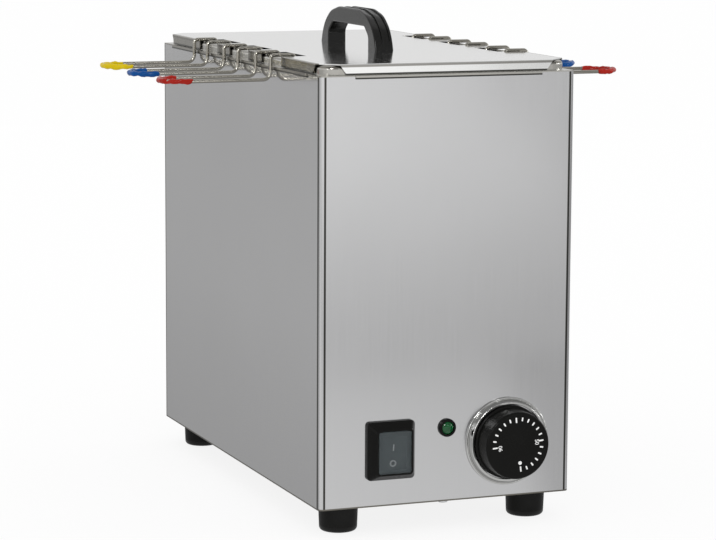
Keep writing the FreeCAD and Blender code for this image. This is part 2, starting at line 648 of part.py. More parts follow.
def handle_tip(side):
    """Axis of a handle wire's far end, from the middle of the casing."""
    return side * (HALF_WIDTH + HANDLE_REACH - WIRE_RADIUS)


def make_basket(side, row):
    """One egg basket: a handle wire bent over the curb, welded to a cup of rings and bows."""
    middle = row + (LEFT_SHIFT if side < 0 else RIGHT_SHIFT)
    hook_z = CURB_Z + WIRE_SEAT + WIRE_RADIUS
    inside_x = side * (TANK_WIDTH / 2 - WIRE_TANK_GAP - WIRE_RADIUS)
    outside_x = side * (HALF_WIDTH + WIRE_OUTSIDE)
    tip_x = handle_tip(side)
    handle_z = hook_z - HANDLE_DROP
    cup_z = LID_UNDER_Z - BASKET_LIFT - LIFT_CLEARANCE - 3 * WIRE_RADIUS
    cup_x = side * CUP_FROM_MIDDLE
    rail_z = cup_z + 2 * WIRE_RADIUS - WELD_DEPTH
    rail_x = cup_x + side * math.sqrt(CUP_RADIUS ** 2 - (WIRE_GAP / 2) ** 2)
    near, far = middle - WIRE_GAP / 2, middle + WIRE_GAP / 2
    half_run = [(rail_x - side * WIRE_RADIUS, rail_z), (inside_x, rail_z), (inside_x, hook_z),
                (outside_x, hook_z), (outside_x, handle_z), (tip_x, handle_z)]
    points = [Vector(x, near, z) for x, z in half_run]
    points += [Vector(x, far, z) for x, z in reversed(half_run)]
    bends = [WIRE_BEND] * 3 + [HANGER_BEND] + [WIRE_GAP / 2] * 2 + [HANGER_BEND] + [WIRE_BEND] * 3
    wire = bent_wire(points, bends, WIRE_RADIUS)
    centre = Vector(cup_x, middle, cup_z)
    pieces = [wire]
    for drop in (0, CUP_WAIST_DROP):
        pieces.append(Part.makeTorus(CUP_RADIUS, WIRE_RADIUS, centre - Z * drop, Z))
    cross = 2 * WIRE_RADIUS - WELD_DEPTH
    for i in range(CUP_BOWS):
        turn = math.pi * i / CUP_BOWS
        out = (X * math.cos(turn) + Y * math.sin(turn)) * (CUP_RADIUS - cross)
        floor = centre - Z * (CUP_DEPTH - i * cross)
        end = centre + Z * BOW_END
        pieces.append(bent_wire([end + out, floor + out, floor - out, end - out],
                                [CUP_ROUND] * 2, WIRE_RADIUS))
    return joined(pieces)


def make_grip(side, row, basket):
    """Dipped plastic coat on the end of a basket's handle."""
    middle = row + (LEFT_SHIFT if side < 0 else RIGHT_SHIFT)
    handle_z = CURB_Z + WIRE_SEAT + WIRE_RADIUS - HANDLE_DROP
    tip_x = handle_tip(side)
    start_x = tip_x - side * (WIRE_GAP / 2 + GRIP_STRAIGHT)
    near, far = middle - WIRE_GAP / 2, middle + WIRE_GAP / 2
    points = [Vector(start_x, near, handle_z), Vector(tip_x, near, handle_z),
              Vector(tip_x, far, handle_z), Vector(start_x, far, handle_z)]
    return bent_wire(points, [WIRE_GAP / 2] * 2, GRIP_RADIUS).cut(basket)


def on_front(x, z):
    return Vector(x, FRONT_Y, z)


def make_knob():
    """Hollow knob: wide skirt, slightly tapered side and flat face, with a hub on the shaft."""
    spot = on_front(KNOB_X, KNOB_Z)
    skirt_end = KNOB_GAP + KNOB_SKIRT_HEIGHT
    body = turned([(0, KNOB_GAP), (KNOB_SKIRT_RADIUS, KNOB_GAP),
                   (KNOB_SKIRT_RADIUS, skirt_end, KNOB_ROUND), (KNOB_WAIST_RADIUS, skirt_end),
                   (KNOB_RADIUS, KNOB_PROUD, KNOB_ROUND), (0, KNOB_PROUD)], spot, X, -Y)
    roof = KNOB_PROUD - KNOB_WALL
    hollow = turned([(KNOB_HUB_RADIUS, KNOB_GAP - OVERRUN),
                     (KNOB_RADIUS - KNOB_WALL, KNOB_GAP - OVERRUN),
                     (KNOB_RADIUS - KNOB_WALL, roof), (KNOB_HUB_RADIUS, roof)], spot, X, -Y)
    bore = rod(spot, spot - Y * (KNOB_PROUD - SHAFT_END_GAP), SHAFT_RADIUS)
    return body.cut([hollow, bore])


def make_shaft():
    spot = on_front(KNOB_X, KNOB_Z)
    return rod(spot - Y * (KNOB_PROUD - SHAFT_END_GAP), spot + Y * (SHEET + SHAFT_SEAT), SHAFT_RADIUS)


def make_dial_ring():
    """Bezel with an outer bead, a groove, a turned-up lip and a small index mark at the top."""
    spot = on_front(KNOB_X, KNOB_Z)
    bore = KNOB_SKIRT_RADIUS + RING_BORE_CLEARANCE
    ring = turned([(bore, 0), (RING_RADIUS, 0), (RING_RADIUS, RING_BEAD_HEIGHT, RING_ROUND),
                   (RING_RADIUS - RING_BEAD_WIDTH, RING_BEAD_HEIGHT, RING_ROUND / 2),
                   (RING_GROOVE_RADIUS, RING_GROOVE_HEIGHT, RING_ROUND / 2),
                   (RING_LIP_RADIUS, RING_LIP_HEIGHT, RING_ROUND),
                   (bore, RING_LIP_HEIGHT, RING_ROUND / 2)], spot, X, -Y)
    half = RING_MARK_WIDTH / 2
    mark_low, mark_high = RING_LIP_HEIGHT - RING_MARK_HEIGHT, RING_LIP_HEIGHT + RING_MARK_HEIGHT
    mark = face([(bore + RING_ROUND, mark_low), (RING_LIP_RADIUS - RING_ROUND / 2, mark_low),
                 (RING_LIP_RADIUS - RING_ROUND / 2, mark_high), (bore + RING_ROUND, mark_high)],
                spot - X * half, Z, -Y)
    return ring.fuse(mark.extrude(X * RING_MARK_WIDTH))


def thermostat_body_centre():
    return Vector(KNOB_X, FRONT_Y + SHEET + THERMOSTAT_LENGTH / 2, KNOB_Z)


def make_thermostat_body():
    """Moulded thermostat behind the wall, with a nose in the wall's hole and a bore for the shaft."""
    centre = thermostat_body_centre()
    half_w, half_h = THERMOSTAT_WIDTH / 2, THERMOSTAT_HEIGHT / 2
    points = [(-half_w, -half_h, THERMOSTAT_ROUND), (half_w, -half_h, THERMOSTAT_ROUND),
              (half_w, half_h, THERMOSTAT_ROUND), (-half_w, half_h, THERMOSTAT_ROUND)]
    back = centre - Y * (THERMOSTAT_LENGTH / 2)
    body = face(points, back, X, Z).extrude(Y * THERMOSTAT_LENGTH)
    spot = on_front(KNOB_X, KNOB_Z)
    body = body.fuse(rod(spot - Y * NOSE_HEIGHT, spot + Y * (2 * SHEET), NOSE_RADIUS))
    bore_end = SHEET + SHAFT_SEAT + SHAFT_TIP_CLEARANCE
    tools = [rod(spot - Y * (NOSE_HEIGHT + OVERRUN), spot + Y * bore_end,
                 SHAFT_RADIUS + SHAFT_CLEARANCE)]
    for side in (-1, 1):
        screw = spot + X * (side * STAT_SCREW_SPAN / 2)
        tools.append(rod(screw, screw + Y * (SHEET + STAT_SCREW_DEPTH), STAT_SCREW_RADIUS))
    return body.cut(tools)


def make_thermostat_screws():
    screws = []
    for side in (-1, 1):
        spot = on_front(KNOB_X + side * STAT_SCREW_SPAN / 2, KNOB_Z)
        head = turned([(0, 0), (STAT_HEAD_RADIUS, 0), (STAT_HEAD_RADIUS, STAT_HEAD_HEIGHT,
                                                       STAT_HEAD_HEIGHT / 2),
                       (0, STAT_HEAD_HEIGHT)], spot, X, -Y)
        screws.append(head.fuse(rod(spot, spot + Y * (SHEET + STAT_SCREW_DEPTH), STAT_SCREW_RADIUS)))
    return Part.makeCompound(screws)


def bulb_start():
    """Left end of the sensing bulb, which lies against the tank's front wall."""
    wall_y = -(TANK_LENGTH / 2 + SHEET)
    return Vector(BULB_START_X, wall_y - BULB_RADIUS, TANK_FLOOR_Z + TANK_FLOOR_ROUND + BULB_RISE)


def make_capillary():
    """Thin copper tube from the thermostat up to the bulb, and the bulb itself."""
    start = bulb_start()
    body_top = Vector(KNOB_X - THERMOSTAT_WIDTH / 4, start.y, KNOB_Z + THERMOSTAT_HEIGHT / 2)
    left_x = start.x - CAPILLARY_SWING
    rise = (start.z - body_top.z) / 3
    points = [body_top, body_top + Z * rise,
              Vector(left_x, start.y, body_top.z + 2 * rise),
              Vector(left_x, start.y, start.z), start]
    tube = bent_wire(points, [CAPILLARY_BEND] * 3, CAPILLARY_RADIUS)
    bulb = rod(start, start + X * BULB_LENGTH, BULB_RADIUS)
    return joined([tube, bulb])


def make_bulb_clip():
    """Spring clip, spot-welded to the tank, that holds the bulb."""
    start = bulb_start()
    low_x = start.x + (BULB_LENGTH - CLIP_LENGTH) / 2
    reach = BULB_RADIUS + CLIP_WALL
    clip = box(Vector(low_x, start.y - reach, start.z - reach),
               Vector(low_x + CLIP_LENGTH, start.y + BULB_RADIUS, start.z + reach))
    bore = rod(start, start + X * BULB_LENGTH, BULB_RADIUS)
    slot = box(Vector(low_x - OVERRUN, start.y, start.z - BULB_RADIUS),
               Vector(low_x + CLIP_LENGTH + OVERRUN, start.y + BULB_RADIUS, start.z + BULB_RADIUS))
    return clip.cut([bore, slot])


def make_pilot_lamp():
    """Bezel, domed lens, body and nut of the pilot lamp."""
    spot = on_front(LAMP_X, LAMP_Z)
    bezel = turned([(LENS_RADIUS, 0), (LAMP_RADIUS, 0), (LAMP_RADIUS, LAMP_PROUD, LAMP_PROUD / 2),
                    (LENS_RADIUS, LAMP_PROUD)], spot, X, -Y)
    dome_radius = (LENS_RADIUS ** 2 + LENS_DOME ** 2) / (2 * LENS_DOME)
    half_turn = math.asin(LENS_RADIUS / dome_radius) / 2
    rim = spot + X * LENS_RADIUS - Y * (LAMP_PROUD - LENS_DOME / 2)
    apex = spot - Y * (LAMP_PROUD + LENS_DOME / 2)
    middle = (apex + Y * dome_radius + X * (dome_radius * math.sin(half_turn))
              - Y * (dome_radius * math.cos(half_turn)))
    corner = spot + X * LENS_RADIUS
    outline = [Part.LineSegment(spot, corner).toShape(), Part.LineSegment(corner, rim).toShape(),
               Part.Arc(rim, middle, apex).toShape(), Part.LineSegment(apex, spot).toShape()]
    lens = Part.Face(Part.Wire(outline)).revolve(spot, Y, 360)
    body = rod(spot, spot + Y * LAMP_BODY_LENGTH, LAMP_BODY_RADIUS)
    nut = hex_nut(spot + Y * SHEET, Y, LAMP_NUT_FLATS, LAMP_NUT_HEIGHT, LAMP_BODY_RADIUS)
    return bezel, lens, body, nut


def frame_points(width, height, radius):
    half_w, half_h = width / 2, height / 2
    return [(-half_w, -half_h, radius), (half_w, -half_h, radius),
            (half_w, half_h, radius), (-half_w, half_h, radius)]


def make_switch_frame():
    """Surround of the mains switch: a low base and four sloped sides up to the window."""
    spot = on_front(SWITCH_X, SWITCH_Z)
    base = face(frame_points(SWITCH_WIDTH, SWITCH_HEIGHT, SWITCH_CORNER), spot, X, Z)
    base = base.extrude(-Y * SWITCH_BASE_HEIGHT)
    low = face(frame_points(SWITCH_WIDTH, SWITCH_HEIGHT, SWITCH_CORNER),
               spot - Y * SWITCH_BASE_HEIGHT, X, Z)
    high = face(frame_points(SWITCH_TOP_WIDTH, SWITCH_TOP_HEIGHT, SWITCH_CORNER),
                spot - Y * SWITCH_PROUD, X, Z)
    slope = Part.makeLoft([low.OuterWire, high.OuterWire], True, True)
    window = face(frame_points(COVER_WIDTH, COVER_HEIGHT, COVER_CORNER), spot + Y * OVERRUN, X, Z)
    return base.fuse(slope).cut(window.extrude(-Y * (SWITCH_PROUD + 2 * OVERRUN))).removeSplitter()


def make_splash_cover():
    """Clear soft cover in the surround's window, with a shallow dish over the rocker."""
    spot = on_front(SWITCH_X, SWITCH_Z)
    low, top = SWITCH_BODY_FRONT, COVER_PROUD
    outer = face(frame_points(COVER_WIDTH, COVER_HEIGHT, COVER_CORNER), spot - Y * low, X, Z)
    outer = outer.extrude(-Y * (top - low))
    rim = [e for e in outer.Edges if abs(e.BoundBox.YMax - (FRONT_Y - top)) < COVER_WALL / 10]
    outer = outer.makeFillet(COVER_WALL, rim)
    mouth_w, mouth_h = COVER_WIDTH - 2 * DISH_RIM, COVER_HEIGHT - 2 * DISH_RIM
    mouth = face(frame_points(mouth_w, mouth_h, COVER_CORNER), spot - Y * top, X, Z)
    floor = face(frame_points(mouth_w - 2 * DISH_SLOPE_X, mouth_h - 2 * DISH_SLOPE_Z, COVER_CORNER),
                 spot - Y * (top - DISH_DEPTH), X, Z)
    dish = Part.makeLoft([mouth.OuterWire, floor.OuterWire], True, True)
    inner = face(frame_points(COVER_WIDTH - 2 * COVER_WALL, COVER_HEIGHT - 2 * COVER_WALL,
                              COVER_CORNER - COVER_WALL), spot + Y * OVERRUN, X, Z)
    return outer.cut([dish, inner.extrude(-Y * (top - DISH_DEPTH - COVER_WALL + OVERRUN))])


def rocker_pivot():
    return on_front(SWITCH_X, SWITCH_Z) - Y * ROCKER_PIVOT


def make_rocker():
    """Rocker with a dished face and two pivot pins, pressed in at its lower half."""
    pivot = rocker_pivot()
    reach = ROCKER_PROUD - ROCKER_PIVOT
    half = ROCKER_HALF
    points = [(-half, reach), (0, reach - ROCKER_DIP, half), (half, reach),
              (half, reach / 2), (ROCKER_BACK_RADIUS, -ROCKER_BACK_RADIUS / 2, PIN_RADIUS),
              (0, -ROCKER_BACK_RADIUS, ROCKER_BACK_RADIUS / 2),
              (-ROCKER_BACK_RADIUS, -ROCKER_BACK_RADIUS / 2, PIN_RADIUS), (-half, reach / 2)]
    side = face(points, pivot - X * (ROCKER_WIDTH / 2), Z, -Y)
    pin_reach = X * (ROCKER_WIDTH / 2 + PIN_LENGTH)
    rocker = side.extrude(X * ROCKER_WIDTH).fuse(rod(pivot - pin_reach, pivot + pin_reach, PIN_RADIUS))
    return rocker.rotated(pivot, X, ROCKER_TILT_DEG)


def make_switch_body():
    """Switch body through the wall, with an open pocket and two bearings for the rocker."""
    spot = on_front(SWITCH_X, SWITCH_Z)
    half_w, half_h = SWITCH_BODY_WIDTH / 2, SWITCH_BODY_HEIGHT / 2
    body = box(spot + Vector(-half_w, -SWITCH_BODY_FRONT, -half_h),
               spot + Vector(half_w, SWITCH_BODY_LENGTH, half_h))
    frame_clear = face(frame_points(SWITCH_WIDTH, SWITCH_HEIGHT, SWITCH_CORNER), spot, X, Z)
    window = face(frame_points(COVER_WIDTH, COVER_HEIGHT, COVER_CORNER), spot, X, Z)
    body = body.cut(frame_clear.extrude(-Y * (SWITCH_BODY_FRONT + OVERRUN)).cut(
        window.extrude(-Y * (SWITCH_BODY_FRONT + OVERRUN))))
    pocket_w = ROCKER_WIDTH / 2 + PIN_CLEARANCE * 2
    pocket_h = ROCKER_HALF + ROCKER_CLEARANCE
    depth = ROCKER_BACK_RADIUS - ROCKER_PIVOT + ROCKER_CLEARANCE
    pocket = box(spot + Vector(-pocket_w, -SWITCH_BODY_FRONT - OVERRUN, -pocket_h),
                 spot + Vector(pocket_w, depth, pocket_h))
    pivot = rocker_pivot()
    pin_reach = X * (ROCKER_WIDTH / 2 + PIN_LENGTH + PIN_CLEARANCE * 2)
    bearing = rod(pivot - pin_reach, pivot + pin_reach, PIN_RADIUS + PIN_CLEARANCE)
    return body.cut([pocket, bearing])


def make_switch_tabs():
    """Flat push-on terminals on the back of the switch."""
    back = on_front(SWITCH_X, SWITCH_Z) + Y * SWITCH_BODY_LENGTH
    tabs = []
    for sx in (-1, 1):
        for sz in (-1, 1):
            centre = back + Vector(sx * TAB_SPAN_X / 2, 0, sz * TAB_SPAN_Z / 2)
            half = Vector(TAB_WIDTH / 2, 0, TAB_THICKNESS / 2)
            tabs.append(box(centre - half, centre + half + Y * TAB_LENGTH))
    return Part.makeCompound(tabs)


def spreader_under_z():
    return TANK_UNDER_Z - SPREADER_THICKNESS


def stud_spots():
    """Stud axes on the spreader's underside: between the element's runs, under each clamp."""
    return [Vector(x, row, spreader_under_z()) for row in (-CLAMP_OFFSET, CLAMP_OFFSET)
            for x in (-ELEMENT_PITCH, ELEMENT_PITCH)]


def make_spreader():
    """Aluminium plate under the tank, with its clamp studs."""
    plate = prism(SPREADER_WIDTH, SPREADER_LENGTH, TANK_FLOOR_ROUND,
                  spreader_under_z(), TANK_UNDER_Z)
    reach = 2 * ELEMENT_RADIUS + CLAMP_THICKNESS + STUD_NUT_HEIGHT + SCREW_TIP
    studs = [rod(spot - Z * reach, spot, STUD_RADIUS) for spot in stud_spots()]
    return joined([plate] + studs)


def make_element():
    """Tubular element in four runs, with a cold pin at each end."""
    z = spreader_under_z() - ELEMENT_RADIUS
    xs = [(i - 1.5) * ELEMENT_PITCH for i in range(4)]
    low, high = -ELEMENT_LENGTH / 2, ELEMENT_LENGTH / 2
    points = [Vector(xs[0], low, z), Vector(xs[0], high, z), Vector(xs[1], high, z),
              Vector(xs[1], low, z), Vector(xs[2], low, z), Vector(xs[2], high, z),
              Vector(xs[3], high, z), Vector(xs[3], low, z)]
    tube = bent_wire(points, [ELEMENT_PITCH / 2] * 6, ELEMENT_RADIUS)
    pins = [rod(end - Y * COLD_PIN_LENGTH, end, COLD_PIN_RADIUS) for end in (points[0], points[-1])]
    return joined([tube] + pins)


def make_clamps():
    """Two strips that press the element against the spreader, and their nuts."""
    top = spreader_under_z() - 2 * ELEMENT_RADIUS
    half_x = SPREADER_WIDTH / 2
    strips, nuts = [], []
    for row in (-CLAMP_OFFSET, CLAMP_OFFSET):
        strip = box(Vector(-half_x, row - CLAMP_WIDTH / 2, top - CLAMP_THICKNESS),
                    Vector(half_x, row + CLAMP_WIDTH / 2, top))
        holes = []
        for spot in stud_spots():
            if abs(spot.y - row) < CLAMP_WIDTH:
                seat = Vector(spot.x, spot.y, top - CLAMP_THICKNESS)
                holes.append(rod(seat - Z * OVERRUN, seat + Z * (CLAMP_THICKNESS + OVERRUN),
                                 STUD_RADIUS))
                nuts.append(hex_nut(seat, -Z, STUD_NUT_FLATS, STUD_NUT_HEIGHT, STUD_RADIUS))
        strips.append(strip.cut(holes))
    return Part.makeCompound(strips), Part.makeCompound(nuts)


def make_safety_cutout():
    """Disc thermostat pressed against the tank's underside, behind the spreader."""
    y = SPREADER_LENGTH / 2 + CUTOUT_BRIM_RADIUS + SHEET
    spot = Vector(0, y, TANK_UNDER_Z)
    return turned([(0, 0), (CUTOUT_BRIM_RADIUS, 0), (CUTOUT_BRIM_RADIUS, -CUTOUT_BRIM),
                   (CUTOUT_RADIUS, -CUTOUT_BRIM), (CUTOUT_RADIUS, -CUTOUT_HEIGHT, CUTOUT_BRIM),
                   (0, -CUTOUT_HEIGHT)], spot, X, Z)


def make_cable_gland():
    """Gland in the back wall: threaded stem, hexagon and domed cap, bored for the mains lead."""
    spot = Vector(GLAND_X, HALF_DEPTH, GLAND_Z)
    stem = rod(spot - Y * (SHEET + GLAND_THREAD_INSIDE), spot + Y * GLAND_HEX_HEIGHT,
               GLAND_THREAD_RADIUS)
    bolt_head = hex_nut(spot, Y, GLAND_FLATS, GLAND_HEX_HEIGHT, GLAND_THREAD_RADIUS)
    cap = turned([(0, GLAND_HEX_HEIGHT), (GLAND_CAP_RADIUS, GLAND_HEX_HEIGHT),
                  (GLAND_CAP_RADIUS, GLAND_PROUD - GLAND_HEX_HEIGHT, GLAND_HEX_HEIGHT),
                  (GLAND_MOUTH_RADIUS, GLAND_PROUD), (0, GLAND_PROUD)], spot, X, Y)
    bore = rod(spot - Y * (SHEET + GLAND_THREAD_INSIDE + OVERRUN), spot + Y * (GLAND_PROUD + OVERRUN),
               GLAND_BORE)
    nut = hex_nut(spot - Y * SHEET, -Y, GLAND_NUT_FLATS, GLAND_NUT_HEIGHT, GLAND_THREAD_RADIUS)
    return joined([stem, bolt_head, cap]).cut(bore), nut


def make_terminal_block():
    """Three-way block on the base plate, with a screw in the well of each way."""
    base = BASE_Z + BASE_SHEET
    y = HALF_DEPTH - BLOCK_FROM_WALL - BLOCK_WIDTH / 2
    low = Vector(GLAND_X - BLOCK_LENGTH / 2, y - BLOCK_WIDTH / 2, base)
    block = box(low, low + Vector(BLOCK_LENGTH, BLOCK_WIDTH, BLOCK_HEIGHT))
    wells, screws = [], []
    pitch = BLOCK_LENGTH / BLOCK_WAYS
    for i in range(BLOCK_WAYS):
        top = Vector(low.x + (i + 0.5) * pitch, y, base + BLOCK_HEIGHT)
        seat = top - Z * BLOCK_WELL_DEPTH
        wells.append(rod(seat, top + Z * OVERRUN, BLOCK_SCREW_RADIUS))
        screws.append(rod(seat, seat + Z * (BLOCK_WELL_DEPTH / 2), BLOCK_SCREW_RADIUS))
    return block.cut(wells), Part.makeCompound(screws)


def make_earth_stud():
    """Welded earth stud on the base plate, with its nut."""
    foot = Vector(EARTH_X, HALF_DEPTH - BLOCK_FROM_WALL, BASE_Z)
    stud = rod(foot, foot + Z * EARTH_HEIGHT, EARTH_RADIUS)
    nut = hex_nut(foot + Z * BASE_SHEET, Z, EARTH_NUT_FLATS, EARTH_NUT_HEIGHT, EARTH_RADIUS)
    return Part.makeCompound([stud, nut])


def build():
    """All sub-parts by name."""
    parts = {
        "outer_casing": make_casing(),
        "top_deck": make_top_deck(),
        "water_tank": make_tank(),
        "base_plate": make_base_plate(),
        "base_screws": make_base_screws(),
        "lid_plate": make_lid(),
        "lid_handle": make_lid_handle(),
        "control_knob": make_knob(),
        "thermostat_shaft": make_shaft(),
        "dial_ring": make_dial_ring(),
        "thermostat_body": make_thermostat_body(),
        "thermostat_screws": make_thermostat_screws(),
        "capillary_and_bulb": make_capillary(),
        "bulb_clip": make_bulb_clip(),
        "switch_frame": make_switch_frame(),
        "splash_cover": make_splash_cover(),
        "switch_rocker": make_rocker(),
        "switch_body": make_switch_body(),
        "switch_tabs": make_switch_tabs(),
        "heat_spreader": make_spreader(),
        "heating_element": make_element(),
        "safety_cutout": make_safety_cutout(),
        "earth_stud": make_earth_stud(),
    }
    for name, spot in foot_spots().items():
        parts["foot_" + name] = make_foot(spot)
    parts["foot_washers"], parts["foot_screws"], parts["foot_nuts"] = foot_fasteners()
    parts["lid_washers"], parts["lid_screws"] = lid_fasteners()
    lamp = make_pilot_lamp()
    parts["pilot_bezel"], parts["pilot_lens"], parts["pilot_body"], parts["pilot_nut"] = lamp
    parts["element_clamps"], parts["clamp_nuts"] = make_clamps()
    parts["cable_gland"], parts["gland_nut"] = make_cable_gland()
    parts["terminal_block"], parts["terminal_screws"] = make_terminal_block()
    for side, side_name in ((-1, "left"), (1, "right")):
        for row, row_name in zip(NOTCH_ROWS, ("front", "middle", "rear")):
            basket = make_basket(side, row)
            name = side_name + "_" + row_name
            parts["basket_" + name] = basket
            parts["grip_" + name] = make_grip(side, row, basket)
    return parts


def main():
    os.makedirs("parts", exist_ok=True)
    for name, shape in build().items():
        if not shape.isValid():
            print("not valid:", name)
        shape.exportStep("parts/" + name + ".step")
        print(name, "solids", len(shape.Solids), "volume", round(shape.Volume / 1000, 2), "cm3")


main()
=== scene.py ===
# %% [markdown]
# # Dressing an egg boiler
#
# The real object is a tall stainless water bath. Its casing is folded sheet, its lid is a bright
# plate with notches, and six wire baskets hang over the rim by their handles. The engineering
# model already has every piece at its true size. This lesson gives the pieces their finishes and
# adds what only shows close up: dial marks, switch marks, dipped grips and weld beads.
#
# The first step loads the model as a fixed frame. Nothing added later makes the object bigger.

import math

import bpy
from mathutils import Matrix, Vector, noise


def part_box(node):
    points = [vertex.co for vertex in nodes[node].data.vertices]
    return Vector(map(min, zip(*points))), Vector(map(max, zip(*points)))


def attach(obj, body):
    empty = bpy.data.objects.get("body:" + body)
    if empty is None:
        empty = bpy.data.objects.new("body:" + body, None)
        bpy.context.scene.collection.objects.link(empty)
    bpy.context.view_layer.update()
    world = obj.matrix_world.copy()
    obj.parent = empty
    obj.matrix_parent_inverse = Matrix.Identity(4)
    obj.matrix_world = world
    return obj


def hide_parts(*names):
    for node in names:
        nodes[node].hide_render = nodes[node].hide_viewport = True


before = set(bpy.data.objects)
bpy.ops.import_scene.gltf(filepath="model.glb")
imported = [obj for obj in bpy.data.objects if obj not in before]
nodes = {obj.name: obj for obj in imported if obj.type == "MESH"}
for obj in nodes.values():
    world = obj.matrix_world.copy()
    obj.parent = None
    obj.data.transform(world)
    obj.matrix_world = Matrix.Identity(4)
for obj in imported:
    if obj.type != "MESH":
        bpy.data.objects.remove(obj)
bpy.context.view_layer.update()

# %% [markdown]
# ## The camera
#
# The photograph was taken from a little above the lid, about 20 degrees to the left of the front,
# with a long lens. A long lens keeps the upright edges almost parallel, so the camera stands more
# than two metres away. Its turn is built from three plain rotations: round the upright axis, down,
# and a hair of roll. An Euler triple could hold the same turn, but three matrices read better.

# %% Camera
YAW, PITCH, ROLL = 0.370, 0.148, 0.005
camera_data = bpy.data.cameras.new("studio_camera")
camera_data.lens = 140.9
camera_data.sensor_width = 36.0
camera = bpy.data.objects.new("studio_camera", camera_data)
bpy.context.scene.collection.objects.link(camera)
turn = (Matrix.Rotation(-YAW, 4, "Z") @ Matrix.Rotation(math.pi / 2 - PITCH, 4, "X")
        @ Matrix.Rotation(ROLL, 4, "Z"))
camera.matrix_world = Matrix.Translation((-0.7926, -2.0491, 0.4946)) @ turn
bpy.context.scene.camera = camera
bpy.context.scene.view_settings.view_transform = "Standard"
print("camera", camera_data.lens, "mm at", tuple(round(v, 3) for v in camera.location))

# %% [markdown]
# ## Shader maths as plain expressions
#
# A finish is a small sum: grain plus smudges, scaled and added to a roughness. Written node by
# node that takes a page, so one class wraps a socket and turns + - * / into Math nodes. Any other
# node comes from one method, which sets the node's own settings before it touches the sockets,
# because some settings change which sockets the node has.

# %% The socket wrapper
class Wire:
    """One output socket of a material's node tree, usable in sums."""

    def __init__(self, tree, socket):
        self.tree = tree
        self.socket = socket

    def node(self, kind, settings=None, out=0, **values):
        """Adds a node. Settings first, then sockets by name, with spaces written as _."""
        made = self.tree.nodes.new(kind)
        for key, value in (settings or {}).items():
            if key == "stops":
                stops = made.color_ramp.elements
                stops[0].position, stops[-1].position = value[0][0], value[-1][0]
                for place, _ in value[1:-1]:
                    stops.new(place)
                for stop, (_, level) in zip(stops, value):
                    stop.color = (level, level, level, 1)
            else:
                setattr(made, key, value)
        for key, value in values.items():
            name = key.replace("_", " ")
            socket = made.inputs[int(name[1:])] if name[0] == "i" and name[1:].isdigit() \
                else made.inputs[name]
            if isinstance(value, Wire):
                self.tree.links.new(value.socket, socket)
            else:
                socket.default_value = value
        return Wire(self.tree, made.outputs[out])

    def sum(self, operation, other, flip=False):
        pair = (other, self) if flip else (self, other)
        return self.node("ShaderNodeMath", {"operation": operation}, i0=pair[0], i1=pair[1])

    def __add__(self, other):
        return self.sum("ADD", other)

    def __sub__(self, other):
        return self.sum("SUBTRACT", other)

    def __rsub__(self, other):
        return self.sum("SUBTRACT", other, flip=True)

    def __mul__(self, other):
        return self.sum("MULTIPLY", other)

    def __truediv__(self, other):
        return self.sum("DIVIDE", other)

    __radd__ = __add__
    __rmul__ = __mul__

    def clamp(self, low=0.0, high=1.0):
        return self.node("ShaderNodeClamp", Value=self, Min=low, Max=high)

    def scaled(self, factors):
        """This vector with each axis stretched, for grain that runs one way."""
        return self.node("ShaderNodeVectorMath", {"operation": "MULTIPLY"}, i0=self, i1=factors)

    def noise(self, scale, detail=2.0):
        return self.node("ShaderNodeTexNoise", Vector=self, Scale=scale, Detail=detail)

    def blend(self, low, high):
        """A colour between two others, by this mask."""
        return self.node("ShaderNodeMix", {"data_type": "RGBA"}, out=2, i0=self,
                         i6=(*low, 1) if isinstance(low, tuple) else low,
                         i7=(*high, 1) if isinstance(high, tuple) else high)

    def axis(self, index):
        """One of this vector's three numbers."""
        return self.node("ShaderNodeSeparateXYZ", out=index, Vector=self)

    def ramp(self, *stops):
        return self.node("ShaderNodeValToRGB", {"stops": stops}, Fac=self)

    def bump(self, distance, strength=1.0, below=None):
        extra = {"Normal": below} if below else {}
        return self.node("ShaderNodeBump", Height=self, Distance=distance, Strength=strength,
                         **extra)


# %% [markdown]
# A material starts as a Principled shader and the object's own coordinates, which are metres here.
# Plain numbers go on the shader's sockets, and only what changes over the surface is linked.

# %% New finish
finishes = {}


def new_finish(name, **plain):
    """Makes a material; returns its coordinates and a function that links a surface input."""
    material = bpy.data.materials.new(name)
    material.use_nodes = True
    tree = material.node_tree
    shader = tree.nodes["Principled BSDF"]
    for key, value in plain.items():
        socket = shader.inputs[key.replace("_", " ")]
        socket.default_value = (*value, 1) if isinstance(value, tuple) and len(value) == 3 else value
    coordinates = tree.nodes.new("ShaderNodeTexCoord")

    def link(**inputs):
        for key, wire in inputs.items():
            tree.links.new(wire.socket, shader.inputs[key.replace("_", " ")])

    finishes[name] = material
    return Wire(tree, coordinates.outputs["Object"]), link
